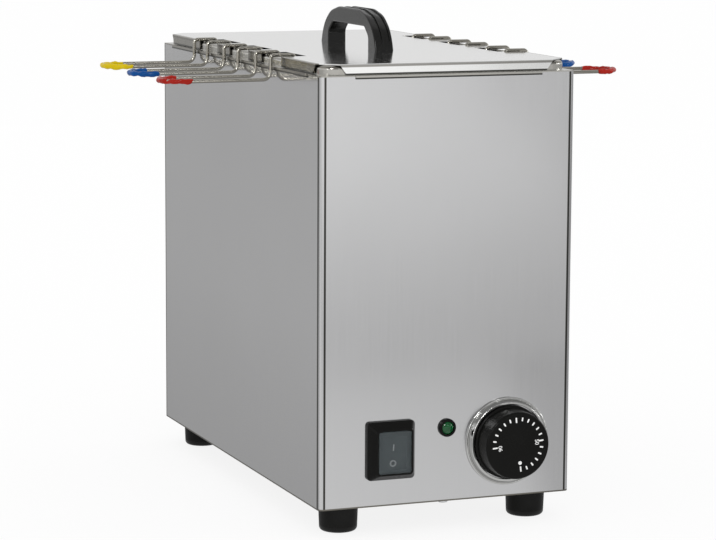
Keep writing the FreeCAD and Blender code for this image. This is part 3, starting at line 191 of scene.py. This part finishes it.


# %% [markdown]
# ## Stainless steel
#
# Rolled stainless is not one grey. Its rolls leave a faint grain that runs up the sheet, thin
# sheet is never quite flat, and hands leave dull smudges. The grain is noise squeezed along Z.
# The slow bend of the sheet is a wide, low bump, and it is what makes reflections wander. The lid
# is the same steel with a brighter face, so one function makes both. Folded sheets get three more
# things by their place: the long sides are a little duller and carry a mottled painted reflection
# of the dark wires beside them, the top bends carry a painted dark reflection, and the bottom edge
# gets a painted shadow line, darker still. The casing's upright corners get a painted reflection, a
# thin dark line on each side of the bend, and a painted shadow line along the bottom.

# %% Sheet finishes
SHARP, SIDE_BAND_DULLNESS = 2500.0, 0.12
ROLL_LINES, SMUDGES, SPECKS = 900.0, 9.0, 120.0
# The bands and dark colours below paint reflections and shadow lines onto the sheet by place.
PAINTED_SIDE_BAND, PAINTED_FOOT_LINE = 0.0024, 0.0013
BEND_TOP, BEND_FOOT, BEND_SHADE = 0.0004, 0.0024, 0.8
CORNER, LINE_IN_FRONT, LINE_AT_SIDE = 0.0040, 0.0020, 0.0028
PAINTED_DARK, PAINTED_MOTTLE_PALE, PAINTED_DARKEST = (0.17, 0.16, 0.14), (0.34, 0.33, 0.30), (0.05, 0.05, 0.045)


def steel_sheet(name, colour, roughness, grain, waviness, grain_axes, folds=None, corners=None):
    place, link = new_finish(name, Metallic=1.0, Base_Color=colour, Roughness=roughness)
    lines = place.scaled(grain_axes).noise(ROLL_LINES, 3.0)
    smudge = place.noise(SMUDGES, 4.0)
    speck = place.noise(SPECKS, 2.0)
    tone = (smudge * 0.5 + lines * 0.5).blend(
        tuple(c * 0.96 for c in colour), tuple(min(c * 1.04, 1) for c in colour))
    sheen = (lines - 0.5) * 0.06 + (smudge - 0.5) * 0.06 + (speck - 0.5) * 0.03 + roughness
    if folds:
        low, high = (Vector(c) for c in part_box(folds))
        height, side = place.axis(2), place.axis(0).sum("ABSOLUTE", 0.0)
        # Painted reflection: the long sides get a dark, mottled band where the wires beside them would
        # mirror; they are also a little duller.
        painted_side_reflection = ((side - (high.x - PAINTED_SIDE_BAND)) * SHARP).clamp()
        # Painted shadow line: a dark band along the bottom edge.
        painted_foot_shadow = ((low.z + PAINTED_FOOT_LINE - height) * SHARP).clamp()
        # Painted reflection: a dark band along the top bend.
        painted_bend_reflection = ((high.z - BEND_TOP - height) * SHARP).clamp() \
            * ((height - (high.z - BEND_FOOT)) * SHARP).clamp()
        tone = painted_side_reflection.blend(tone, (speck * 0.6 + smudge * 0.4).blend(PAINTED_DARK, PAINTED_MOTTLE_PALE))
        tone = (painted_bend_reflection * BEND_SHADE).blend(tone, PAINTED_DARK)
        tone = painted_foot_shadow.blend(tone, PAINTED_DARKEST)
        sheen = sheen + painted_side_reflection * SIDE_BAND_DULLNESS
    if corners:
        low, high = (Vector(c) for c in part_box(corners))
        middle = [(high[i] + low[i]) / 2 for i in (0, 1)]
        into = [(place.axis(i) - middle[i]).sum("ABSOLUTE", 0.0) - (high[i] - middle[i] - CORNER)
                for i in (0, 1)]
        # Painted reflection: a thin dark line on each side of each upright corner bend.
        painted_corner_reflection = [((edge + width / 2) * SHARP).clamp() * ((width / 2 - edge) * SHARP).clamp()
                   * ((other - CORNER / 2) * SHARP).clamp()
                   for edge, other, width in ((into[0], into[1], LINE_IN_FRONT),
                                              (into[1], into[0], LINE_AT_SIDE))]
        tone = (painted_corner_reflection[0] + painted_corner_reflection[1]).clamp().blend(tone, PAINTED_DARKEST)
        # Painted shadow line along the casing's bottom edge.
        tone = ((low.z + PAINTED_FOOT_LINE - place.axis(2)) * SHARP).clamp().blend(tone, PAINTED_DARK)
    link(Base_Color=tone)
    link(Roughness=sheen)
    wave = place.noise(5.0, 1.0).bump(waviness)
    link(Normal=lines.bump(grain, 0.5, below=wave))


steel_sheet("casing_steel", (0.60, 0.60, 0.605), 0.14, 0.000008, 0.0010, (1.0, 1.0, 0.02),
            corners="outer_casing")
steel_sheet("deck_steel", (0.44, 0.43, 0.40), 0.20, 0.00001, 0.0004, (0.03, 1.0, 1.0),
            folds="top_deck")
steel_sheet("lid_steel", (0.89, 0.89, 0.88), 0.10, 0.000006, 0.0007, (1.0, 0.03, 1.0),
            folds="lid_plate")
steel_sheet("tank_steel", (0.66, 0.66, 0.65), 0.24, 0.00001, 0.0004, (1.0, 1.0, 0.02))
print("finishes so far:", sorted(finishes))

# %% [markdown]
# Bent wire is drawn, bent and electropolished. It is smoother than sheet, and brown heat tint
# stays in the pores near welds; here the whole wire gets one brownish grey. Small fasteners, the
# heater and the copper tube get their own metals in the same way, each with a little uneven tone.

# %% Other metals
def plain_metal(name, colour, roughness, grain_scale=250.0, depth=0.00002, uneven=0.12):
    place, link = new_finish(name, Metallic=1.0, Base_Color=colour, Roughness=roughness)
    patch = place.noise(grain_scale / 4, 3.0)
    fine = place.noise(grain_scale * 4, 2.0)
    link(Base_Color=patch.blend(tuple(c * (1 - uneven) for c in colour),
                                tuple(min(c * (1 + uneven), 1) for c in colour)))
    link(Roughness=(patch - 0.5) * 0.12 + (fine - 0.5) * 0.05 + roughness)
    link(Normal=fine.bump(depth, 0.4))


plain_metal("basket_wire", (0.36, 0.345, 0.305), 0.14)
plain_metal("zinc_fastener", (0.66, 0.67, 0.68), 0.30)
plain_metal("heater_tube", (0.20, 0.18, 0.16), 0.50)
plain_metal("rolled_aluminium", (0.74, 0.74, 0.75), 0.38)
plain_metal("copper_tube", (0.78, 0.42, 0.28), 0.28)
plain_metal("chrome_bezel", (0.52, 0.52, 0.51), 0.06, depth=0.000004, uneven=0.02)

# %% [markdown]
# ## Plastics and rubber
#
# Black mouldings are never pure black. A fine spark-eroded grain breaks up the shine, and slow
# pale patches make the tone uneven; on the real thing, handled edges go a little smoother and
# greyer. The rubber of the feet is duller and holds dust, so its pale patches are stronger.

# %% Mouldings
def moulding(name, colour, roughness, grain=0.00004, grain_scale=1800.0, bloom=0.35, **extra):
    place, link = new_finish(name, Base_Color=colour, Roughness=roughness, **extra)
    fine = place.noise(grain_scale, 2.0)
    patch = place.noise(45.0, 3.0)
    pale = tuple(min(c * (1 + bloom) + 0.001, 1) for c in colour)
    link(Base_Color=patch.blend(colour, pale))
    link(Roughness=(fine - 0.5) * 0.10 + (patch - 0.5) * 0.12 + roughness)
    link(Normal=fine.bump(grain, 0.6))


moulding("black_moulding", (0.0035, 0.0035, 0.0030), 0.26, Specular_IOR_Level=0.11)
moulding("handle_moulding", (0.005, 0.005, 0.0045), 0.24, grain=0.00002, Specular_IOR_Level=0.3)
moulding("foot_rubber", (0.005, 0.005, 0.0045), 0.42, grain=0.0001, grain_scale=900.0, bloom=0.8,
         Specular_IOR_Level=0.16)
moulding("pale_moulding", (0.72, 0.70, 0.62), 0.45)
moulding("print_white", (0.82, 0.82, 0.80), 0.50, grain=0.00001)
moulding("vinyl_red", (0.25, 0.009, 0.004), 0.22, grain_scale=420.0, bloom=0.9,
         Specular_IOR_Level=0.12)
moulding("vinyl_blue", (0.001, 0.048, 0.19), 0.22, grain_scale=420.0, bloom=0.9,
         Specular_IOR_Level=0.12)
moulding("vinyl_yellow", (0.47, 0.35, 0.001), 0.22, grain_scale=420.0, bloom=0.9,
         Specular_IOR_Level=0.12)

# %% [markdown]
# The lamp's lens is clear green plastic over a dark lamp, and the switch cover is a soft clear
# membrane. Both are glossy outside. The cover lets most light through, so its Alpha is low, and a
# slow bump keeps its highlight from looking like window glass.

# %% Clear pieces
place, link = new_finish("green_lens", Base_Color=(0.002, 0.06, 0.015), Roughness=0.06,
                         IOR=1.5, Coat_Weight=0.6, Coat_Roughness=0.02,
                         Specular_IOR_Level=0.2)
ribs = place.noise(1500.0, 1.0)
link(Base_Color=place.noise(400.0).blend((0.000, 0.012, 0.003), (0.001, 0.15, 0.035)))
link(Normal=ribs.bump(0.00005, 0.05))

place, link = new_finish("clear_cover", Base_Color=(0.12, 0.142, 0.150), Roughness=0.16,
                         Alpha=0.38, IOR=1.45, Specular_IOR_Level=0.3)
link(Normal=place.noise(60.0).bump(0.0004, 0.6))
link(Roughness=place.noise(200.0) * 0.1 + 0.12)
finishes["clear_cover"].surface_render_method = "BLENDED"
print("finishes:", len(finishes))

# %% [markdown]
# ## Dress the frame's own pieces
#
# Each node of the model keeps its shape and only gets a finish. Names are matched by how they
# start, so all six baskets are dressed in one line. The loop stops with a message if a node is
# left out, which is safer than finding a bare one in a render.

# %% Finish for each node
dress = {
    "outer_casing": "casing_steel", "base_plate": "casing_steel", "top_deck": "deck_steel",
    "water_tank": "tank_steel", "lid_plate": "lid_steel", "basket_": "basket_wire",
    "base_screws": "zinc_fastener", "foot_screws": "zinc_fastener", "foot_nuts": "zinc_fastener",
    "foot_washers": "zinc_fastener", "foot_": "foot_rubber", "lid_screws": "zinc_fastener",
    "lid_washers": "zinc_fastener", "lid_handle": "handle_moulding",
    "thermostat_screws": "zinc_fastener", "thermostat_shaft": "zinc_fastener",
    "thermostat_body": "pale_moulding", "clamp_nuts": "zinc_fastener",
    "element_clamps": "zinc_fastener", "heating_element": "heater_tube",
    "heat_spreader": "rolled_aluminium", "capillary_and_bulb": "copper_tube",
    "bulb_clip": "zinc_fastener", "terminal_screws": "zinc_fastener", "earth_stud": "zinc_fastener",
    "switch_tabs": "zinc_fastener", "switch_": "black_moulding", "control_knob": "black_moulding",
    "pilot_bezel": "black_moulding", "pilot_lens": "green_lens", "pilot_": "pale_moulding",
    "cable_gland": "black_moulding", "gland_nut": "black_moulding", "dial_ring": "chrome_bezel",
    "splash_cover": "clear_cover", "safety_cutout": "pale_moulding",
    "terminal_block": "pale_moulding", "grip_left_front": "vinyl_red", "grip_right_front": "vinyl_red",
    "grip_left_middle": "vinyl_blue", "grip_right_middle": "vinyl_blue",
    "grip_left_rear": "vinyl_yellow", "grip_right_rear": "vinyl_yellow",
}
for name, node in nodes.items():
    keys = sorted((k for k in dress if name.startswith(k)), key=len)
    if not keys:
        raise ValueError(name + " has no finish")
    node.data.materials.clear()
    node.data.materials.append(finishes[dress[keys[-1]]])
print("dressed", len(nodes), "nodes")

# %% [markdown]
# ## Settling a new piece
#
# A finished piece keeps its object at the origin and its place in its mesh, like the frame's own
# nodes. One helper bakes the place in, gives the finish, and lets the piece ride on a body, so
# that the dial print turns with its knob.

# %% Settle
def deselect():
    if bpy.context.object and bpy.context.object.mode != "OBJECT":
        bpy.ops.object.mode_set(mode="OBJECT")
    bpy.ops.object.select_all(action="DESELECT")


def settle(piece, name, body, finish):
    """Bakes in the piece's place, names it, gives its finish and lets it ride on the body."""
    piece.data.transform(piece.matrix_world)
    piece.matrix_world = Matrix.Identity(4)
    piece.name = name
    piece.data.materials.clear()
    piece.data.materials.append(finishes[finish])
    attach(piece, body)
    print(name, "has", len(piece.data.polygons), "faces and rides on", body)
    return piece


def joined(parts):
    """One object from several."""
    deselect()
    for part in parts:
        part.select_set(True)
    bpy.context.view_layer.objects.active = parts[0]
    bpy.ops.object.join()
    return parts[0]


# %% [markdown]
# ## The dial's print
#
# The dial is pad-printed in white ink: nineteen ticks over three quarters of a turn, a dot for
# off, and two temperatures whose tops point outwards, so each reads upright when it stands at the
# mark. Each tick is a plane with rounded corners, raised by less than a tenth of a millimetre and
# turned about the knob's axis.

# %% Ticks and dot
INK = 0.00008
TICK_WIDTH, TICK_OUTER = 0.00115, 0.0205
LONG_TICK, SHORT_TICK = 0.0040, 0.0028
PRINT_RISE = 0.0010
DOT_RADIUS, DOT_PLACE = 0.0014, 0.0139
FIRST_TICK_DEG, TICK_STEP_DEG = 173.0, -14.86
knob_low, knob_high = (Vector(c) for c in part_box("control_knob"))
dial_centre = Vector(((knob_low.x + knob_high.x) / 2, knob_low.y,
                      (knob_low.z + knob_high.z) / 2 + PRINT_RISE))


def raise_ink():
    """In edit mode: lifts the selected flat print off the face by the ink's thickness."""
    bpy.ops.mesh.extrude_region_move(TRANSFORM_OT_translate={"value": (0, -INK, 0)})
    bpy.ops.object.mode_set(mode="OBJECT")


def tick(length, outer=TICK_OUTER):
    deselect()
    bpy.ops.mesh.primitive_plane_add(size=1.0, location=(0, 0, outer - length / 2),
                                     rotation=(math.pi / 2, 0, 0))
    bar = bpy.context.active_object
    bar.scale = (TICK_WIDTH, length, 1.0)
    bpy.ops.object.transform_apply(location=True, rotation=True, scale=True)
    bpy.ops.object.mode_set(mode="EDIT")
    bpy.ops.mesh.bevel(offset=TICK_WIDTH * 0.35, segments=3, affect="VERTICES")
    raise_ink()
    return bar


ticks = []
for i in range(19):
    bar = tick(LONG_TICK if i % 6 == 0 else SHORT_TICK)
    bar.data.transform(Matrix.Rotation(math.radians(FIRST_TICK_DEG + i * TICK_STEP_DEG), 4, "Y"))
    bar.data.transform(Matrix.Translation(dial_centre))
    ticks.append(bar)
deselect()
bpy.ops.mesh.primitive_circle_add(vertices=28, radius=DOT_RADIUS, fill_type="NGON",
                                  location=(0, 0, DOT_PLACE), rotation=(math.pi / 2, 0, 0))
dot = bpy.context.active_object
bpy.ops.object.transform_apply(location=True, rotation=True, scale=True)
bpy.ops.object.mode_set(mode="EDIT")
raise_ink()
dot.data.transform(Matrix.Rotation(math.radians(FIRST_TICK_DEG), 4, "Y"))
dot.data.transform(Matrix.Translation(dial_centre))
settle(joined(ticks + [dot]), "dial_ticks", "thermostat_knob", "print_white")

# %% Numbers
def numeral(words, turn_deg, radius, height):
    """Printed figures with their tops outwards, at a place on the dial."""
    deselect()
    bpy.ops.object.text_add()
    text = bpy.context.active_object
    text.data.body = words
    text.data.align_x, text.data.align_y = "CENTER", "CENTER"
    text.data.size = height / 0.70
    text.data.extrude = INK / 2
    text.data.offset = 0.00004
    bpy.ops.object.convert(target="MESH")
    text.data.transform(Matrix.Rotation(math.pi / 2, 4, "X"))
    text.data.transform(Matrix.Translation((0, -INK / 2, radius)))
    text.data.transform(Matrix.Rotation(math.radians(turn_deg), 4, "Y"))
    text.data.transform(Matrix.Translation(dial_centre))
    return text


settle(joined([numeral("50", 86.0, 0.0150, 0.0030), numeral("90", -98.0, 0.0142, 0.0030)]),
       "dial_numbers", "thermostat_knob", "print_white")

# %% [markdown]
# ## The switch's marks
#
# The bar and the ring mean on and off on any switch. They are printed on the rocker, whose face is
# dished and tilted. So each mark is first made flat in front of it, and then every vertex is
# dropped onto the rocker along the view of someone who stands in front.

# %% Rocker marks
rocker = nodes["switch_rocker"]
rocker_low, rocker_high = (Vector(c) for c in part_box("switch_rocker"))
MARK_OFFSET, MARKS_DROP = 0.0060, 0.0028
BAR_WIDTH, BAR_LENGTH = 0.00095, 0.0050
RING_RADIUS, RING_HOLE = 0.0026, 0.56


def drop_onto(piece, target, lift):
    """Moves each vertex along +Y onto the target, keeping the print's own thickness."""
    front = min(v.co.y for v in piece.data.vertices)
    for vertex in piece.data.vertices:
        above = vertex.co.y - front
        hit, spot, _, _ = target.ray_cast(Vector((vertex.co.x, front - 0.05, vertex.co.z)),
                                          Vector((0, 1, 0)))
        if not hit:
            raise ValueError(piece.name + " misses " + target.name)
        vertex.co.y = spot.y - lift + above


def flat_mark(add, x, z):
    deselect()
    add(location=(x, rocker_low.y - 0.01, z), rotation=(math.pi / 2, 0, 0))
    return bpy.context.active_object


switch_x = (rocker_low.x + rocker_high.x) / 2
marks_z = (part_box("splash_cover")[0][2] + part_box("splash_cover")[1][2]) / 2 - MARKS_DROP
on_mark = flat_mark(lambda **at: bpy.ops.mesh.primitive_grid_add(
    x_subdivisions=2, y_subdivisions=8, size=1.0, **at), switch_x, marks_z + MARK_OFFSET)
on_mark.scale = (BAR_WIDTH, BAR_LENGTH, 1.0)
bpy.ops.object.transform_apply(location=True, rotation=True, scale=True)
bpy.ops.object.mode_set(mode="EDIT")
raise_ink()
off_mark = flat_mark(lambda **at: bpy.ops.mesh.primitive_circle_add(
    vertices=40, radius=RING_RADIUS, fill_type="NOTHING", **at), switch_x, marks_z - MARK_OFFSET)
bpy.ops.object.transform_apply(location=True, rotation=True, scale=True)
bpy.ops.object.mode_set(mode="EDIT")
bpy.ops.mesh.extrude_region_move()
bpy.ops.transform.resize(value=(RING_HOLE, 1.0, RING_HOLE))
bpy.ops.mesh.select_all(action="SELECT")
raise_ink()
for mark in (on_mark, off_mark):
    drop_onto(mark, rocker, INK)
settle(joined([on_mark, off_mark]), "switch_marks", "rocker", "print_white")

# %% [markdown]
# ## Dipped grips
#
# The basket handles are dipped in soft vinyl, so the coat is thicker where it ran while it set,
# and each one ends a little differently. A ring is pushed along the first straight, spun round
# the bend and pushed along the second. Then the surface is swollen unevenly by a cloud texture,
# and the ends are drawn in to the wire.

# %% Grips
run_texture = bpy.data.textures.new("vinyl_runs", "CLOUDS")
run_texture.noise_scale = 0.0045
GRIP_STEPS = 22
RING_STEP = 0.0018
TAPER = 0.66
COAT_SLIMNESS = 0.82


def dipped_grip(side, row, near, far, swell, colour):
    """A coat on a handle's bend, with a straight of its own length on the near and far wire."""
    lowest, highest = (Vector(c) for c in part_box("grip_" + side + "_" + row))
    way = -1 if side == "left" else 1
    hull = (highest.z - lowest.z) / 2
    coat = hull * COAT_SLIMNESS
    height = (highest.z + lowest.z) / 2
    bend = (highest.y - lowest.y) / 2 - hull
    middle = (highest.y + lowest.y) / 2
    bend_x = (lowest.x + hull + bend) if way < 0 else (highest.x - hull - bend)
    deselect()
    bpy.ops.mesh.primitive_circle_add(vertices=14, radius=coat * TAPER,
                                      location=(bend_x - way * near, middle - bend, height),
                                      rotation=(0, math.pi / 2, 0))
    tube = bpy.context.active_object
    bpy.ops.object.transform_apply(location=True, rotation=True, scale=True)
    bpy.ops.object.mode_set(mode="EDIT")
    push_ring(way, near, taper_at=0, grow=1 / TAPER)
    bpy.ops.mesh.spin(steps=GRIP_STEPS, angle=-way * math.pi, center=(bend_x, middle, height),
                      axis=(0, 0, 1))
    push_ring(-way, far, taper_at=-1, grow=TAPER)
    bpy.ops.mesh.select_all(action="SELECT")
    bpy.ops.mesh.remove_doubles(threshold=0.00001)
    bpy.ops.mesh.normals_make_consistent(inside=False)
    bpy.ops.object.mode_set(mode="OBJECT")
    deselect()
    tube.select_set(True)
    bpy.context.view_layer.objects.active = tube
    smooth = tube.modifiers.new("smooth", "SUBSURF")
    smooth.levels = smooth.render_levels = 1
    runs = tube.modifiers.new("runs", "DISPLACE")
    runs.texture, runs.strength, runs.mid_level = run_texture, swell, 0.52
    runs.texture_coords = "GLOBAL"
    bpy.ops.object.modifier_apply(modifier="smooth")
    bpy.ops.object.modifier_apply(modifier="runs")
    bpy.ops.object.shade_smooth()
    name = "dipped_" + side + "_" + row
    settle(tube, name, side + "_" + row + "_basket", "vinyl_" + colour)
    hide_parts("grip_" + side + "_" + row)


def push_ring(way, length, taper_at, grow):
    """In edit mode: pushes the selected ring along X in short steps and scales it at one of them."""
    steps = max(2, round(length / RING_STEP))
    for i in range(steps):
        bpy.ops.mesh.extrude_region_move(
            TRANSFORM_OT_translate={"value": (way * length / steps, 0, 0)})
        if i == taper_at % steps:
            bpy.ops.transform.resize(value=(1.0, grow, grow))


for side in ("left", "right"):
    for row, near, far, swell, colour in (("front", 0.0030, 0.0010, 0.0021, "red"),
                                          ("middle", 0.0010, 0.0010, 0.0021, "blue"),
                                          ("rear", 0.0030, 0.0040, 0.0021, "yellow")):
        dipped_grip(side, row, near, far, swell, colour)

# %% [markdown]
# ## Weld beads
#
# Each basket is resistance-welded: where two wires cross, the metal has flowed into a small, flat,
# slightly lumpy bead. One bead is a squashed sphere with its poles turned sideways, pushed about a
# little. It is copied to every crossing of a cup, which are found from the sizes of the basket.

# %% Beads
CUP_RADIUS, CUP_DEPTH, CUP_WAIST, WIRE = 0.027, 0.040, 0.013, 0.0014
CUP_FROM_MIDDLE, WIRE_GAP, CROSSING = 0.050, 0.034, 0.0020
BEAD_SIZE, BEAD_FLATNESS, BEAD_LUMPS, LUMP_SCALE = 1.25, 0.8, 0.22, 900


def bead(seed):
    deselect()
    bpy.ops.mesh.primitive_uv_sphere_add(segments=12, ring_count=8, radius=WIRE * BEAD_SIZE)
    made = bpy.context.active_object
    made.data.transform(Matrix.Diagonal((1.0, 1.0, BEAD_FLATNESS, 1.0)) @ Matrix.Rotation(0.5, 4, "X"))
    for vertex in made.data.vertices:
        push = noise.noise(vertex.co * LUMP_SCALE + Vector((seed, 0, 0)))
        vertex.co += vertex.co.normalized() * (push * WIRE * BEAD_LUMPS)
    bpy.ops.object.shade_smooth()
    return made


for side in ("left", "right"):
    for row in ("front", "middle", "rear"):
        low, high = (Vector(c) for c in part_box("basket_" + side + "_" + row))
        way = -1 if side == "left" else 1
        middle, foot_z = (low.y + high.y) / 2, low.z + WIRE
        cup_z, cup_x = foot_z + CUP_DEPTH, way * CUP_FROM_MIDDLE
        reach = math.sqrt(CUP_RADIUS ** 2 - (WIRE_GAP / 2) ** 2)
        spots = [(cup_x + way * reach, middle + s * WIRE_GAP / 2, cup_z + CROSSING / 2)
                 for s in (-1, 1)]
        spots.append((cup_x, middle, foot_z + CROSSING / 2))
        for i in range(4):
            turn, radius = math.radians(90 * i), CUP_RADIUS - CROSSING / 2
            for z in (cup_z, cup_z - CUP_WAIST):
                spots.append((cup_x + radius * math.cos(turn), middle + radius * math.sin(turn), z))
        beads = []
        for i, spot in enumerate(spots):
            made = bead(i + way * 7 + middle * 100)
            made.data.transform(Matrix.Translation(spot))
            beads.append(made)
        settle(joined(beads), "welds_" + side + "_" + row, side + "_" + row + "_basket",
               "basket_wire")

# %% [markdown]
# ## The studio
#
# The photograph stands on pure white with hardly a shadow. The world is plain white and lights
# everything evenly. The floor is a real floor that takes the shadow, but rays that come straight
# from the camera, a mirror or glass see it a good deal paler, so that the shadow is faint. Mirrors
# near the object meet the card of the next section before they reach the floor.

# %% Floor and sky
FLOOR_WHITENESS = 0.86


def stage_plane(name, size, centre=(0, 0, 0), facing=(0, 0, 1)):
    """A flat piece of the studio with its own material; returns it and the material's tree."""
    deselect()
    bpy.ops.mesh.primitive_plane_add(size=1.0)
    made = bpy.context.active_object
    made.name = name
    made.data.transform(Matrix.Diagonal((size[0], size[1], 1.0, 1.0)))
    turn = Vector((0, 0, 1)).rotation_difference(Vector(facing))
    made.matrix_world = Matrix.Translation(centre) @ turn.to_matrix().to_4x4()
    material = bpy.data.materials.new(name)
    material.use_nodes = True
    made.data.materials.append(material)
    return made, material.node_tree


_, tree = stage_plane("studio_floor", (14.0, 14.0))
matt = tree.nodes["Principled BSDF"]
matt.inputs["Base Color"].default_value = (0.96, 0.96, 0.96, 1)
matt.inputs["Roughness"].default_value = 0.9
matt.inputs["Specular IOR Level"].default_value = 0.1
white = tree.nodes.new("ShaderNodeEmission")
ray = tree.nodes.new("ShaderNodeLightPath").outputs
straight = [Wire(tree, ray[kind]) for kind in ("Is Camera Ray", "Is Glossy Ray", "Is Transmission Ray")]
seen = (straight[0] + straight[1] + straight[2]).clamp() * FLOOR_WHITENESS
mixed = seen.node("ShaderNodeMixShader", i0=seen, i1=Wire(tree, matt.outputs[0]),
                  i2=Wire(tree, white.outputs[0]))
tree.links.new(mixed.socket, tree.nodes["Material Output"].inputs["Surface"])

world = bpy.data.worlds.new("studio_sky")
world.use_nodes = True
world.node_tree.nodes["Background"].inputs["Color"].default_value = (1, 1, 1, 1)
world.node_tree.nodes["Background"].inputs["Strength"].default_value = 1.0
bpy.context.scene.world = world

# %% [markdown]
# ## Cards for the steel
#
# Polished steel shows the room more than itself, so the room decides how it looks. A photographer
# stands grey cards where the metal mirrors them. These cards are seen by reflections alone, so the
# even light stays. A mirror that is looked down on shows the floor: the front wall shows the floor
# ahead of it and the side wall the floor beside it, each height its own distance. So one large card
# lies on the floor, and its grey changes with the distance from each wall. The greys are tuned for
# the photograph's viewpoint: the part that runs across the wall is turned by the camera's yaw. The
# card stays where it is in other views, so there the walls look plainer.

# %% The floor's card
FRONT_CORNER = (-0.100, -0.190)
FRONT_REACH, SIDE_REACH = 4.0, 2.0
FACE_ACROSS, FACE_END = 0.19, 0.32
LEFT_GAIN, RIGHT_LOSS, BACK_LOSS, OUTSIDE_LOSS = 1.045, 0.11, 0.06, 0.31
PATCH_START, PATCH_DEPTH, PATCH_LOSS = 0.155, 0.66, 0.23
PATCH_SIDE_BLUR, PATCH_END_BLUR, FACE_BLUR = 0.03, 0.08, 0.10


def card(name, size, centre, facing=(0, 0, 1)):
    """A card that only reflections see; returns its coordinates in metres and a way to light it."""
    made, tree = stage_plane(name, size, centre, facing)
    made.visible_camera = made.visible_diffuse = made.visible_shadow = False
    tree.nodes.remove(tree.nodes["Principled BSDF"])
    glow = tree.nodes.new("ShaderNodeEmission")
    tree.links.new(glow.outputs[0], tree.nodes["Material Output"].inputs["Surface"])

    def light(strength):
        if isinstance(strength, Wire):
            tree.links.new(strength.socket, glow.inputs["Strength"])
        else:
            glow.inputs["Strength"].default_value = strength

    return Wire(tree, tree.nodes.new("ShaderNodeTexCoord").outputs["Object"]), light


place, light = card("floor_card", (13.0, 13.0), (*FRONT_CORNER, 0.004))
ahead, beside = place.axis(1), place.axis(0)
front_greys = (ahead / -FRONT_REACH).ramp((0.0, 0.84), (0.08, 0.80), (0.12, 0.76), (0.15, 0.665),
                                          (0.22, 0.67), (0.34, 0.79), (0.47, 0.91), (0.55, 1.0))
side_greys = (beside / -SIDE_REACH).ramp((0.0, 0.44), (0.06, 0.47), (0.16, 0.52), (0.34, 0.525),
                                         (0.41, 0.515), (1.0, 0.515))
yaw_across = beside * math.cos(YAW) + ahead * math.sin(YAW)
patch = ((yaw_across - PATCH_START) / PATCH_SIDE_BLUR).clamp() \
    * ((ahead + PATCH_DEPTH) / PATCH_END_BLUR).clamp()
is_front = ahead.sum("LESS_THAN", 0.0)
outside = ((yaw_across - FACE_END) / FACE_BLUR).clamp() * is_front
shift = (yaw_across / FACE_ACROSS).clamp()
front_across = (LEFT_GAIN - shift * RIGHT_LOSS - outside * OUTSIDE_LOSS) * (1 - patch * PATCH_LOSS)
side_across = LEFT_GAIN - shift * BACK_LOSS
light(front_greys * front_across * is_front + side_greys * side_across * (1 - is_front))

# %% [markdown]
# The room in front of the object, above the camera, is half dark, and the ceiling is a pale grey.
# They give the chrome ring and the lid their tones. Small bright boxes put the sharp glints on
# lamp, ring, knob and handle.

# %% The dark room and its lights
ROOM_LIGHT, CEILING_LIGHT, BACK_LIGHT = 0.42, 0.80, 0.76
_, light = card("dark_room", (11.0, 6.2), (0.0, -2.6, 3.2), (0, 0.78, -0.62))
light(ROOM_LIGHT)
_, light = card("ceiling", (12.0, 12.0), (0.0, 2.0, 6.2), (0, 0, -1))
light(CEILING_LIGHT)
bright_boxes = (((-1.50, -2.6, 1.9), (0.55, 0.70), 26.0), ((0.75, -2.9, 1.50), (0.22, 0.30), 9.0),
                ((-2.4, -1.6, 1.1), (0.30, 0.80), 9.0), ((2.6, -1.0, 0.8), (0.25, 1.10), 9.0))
for i, (centre, size, strength) in enumerate(bright_boxes):
    _, light = card("bright_box_" + str(i + 1), size, centre, (-centre[0], -centre[1], 0.2 - centre[2]))
    light(strength)
_, light = card("back_board", (4.4, 2.2), (1.25, 2.6, 0.8), (-0.36, -0.93, 0.0))
light(BACK_LIGHT)
print("studio built")
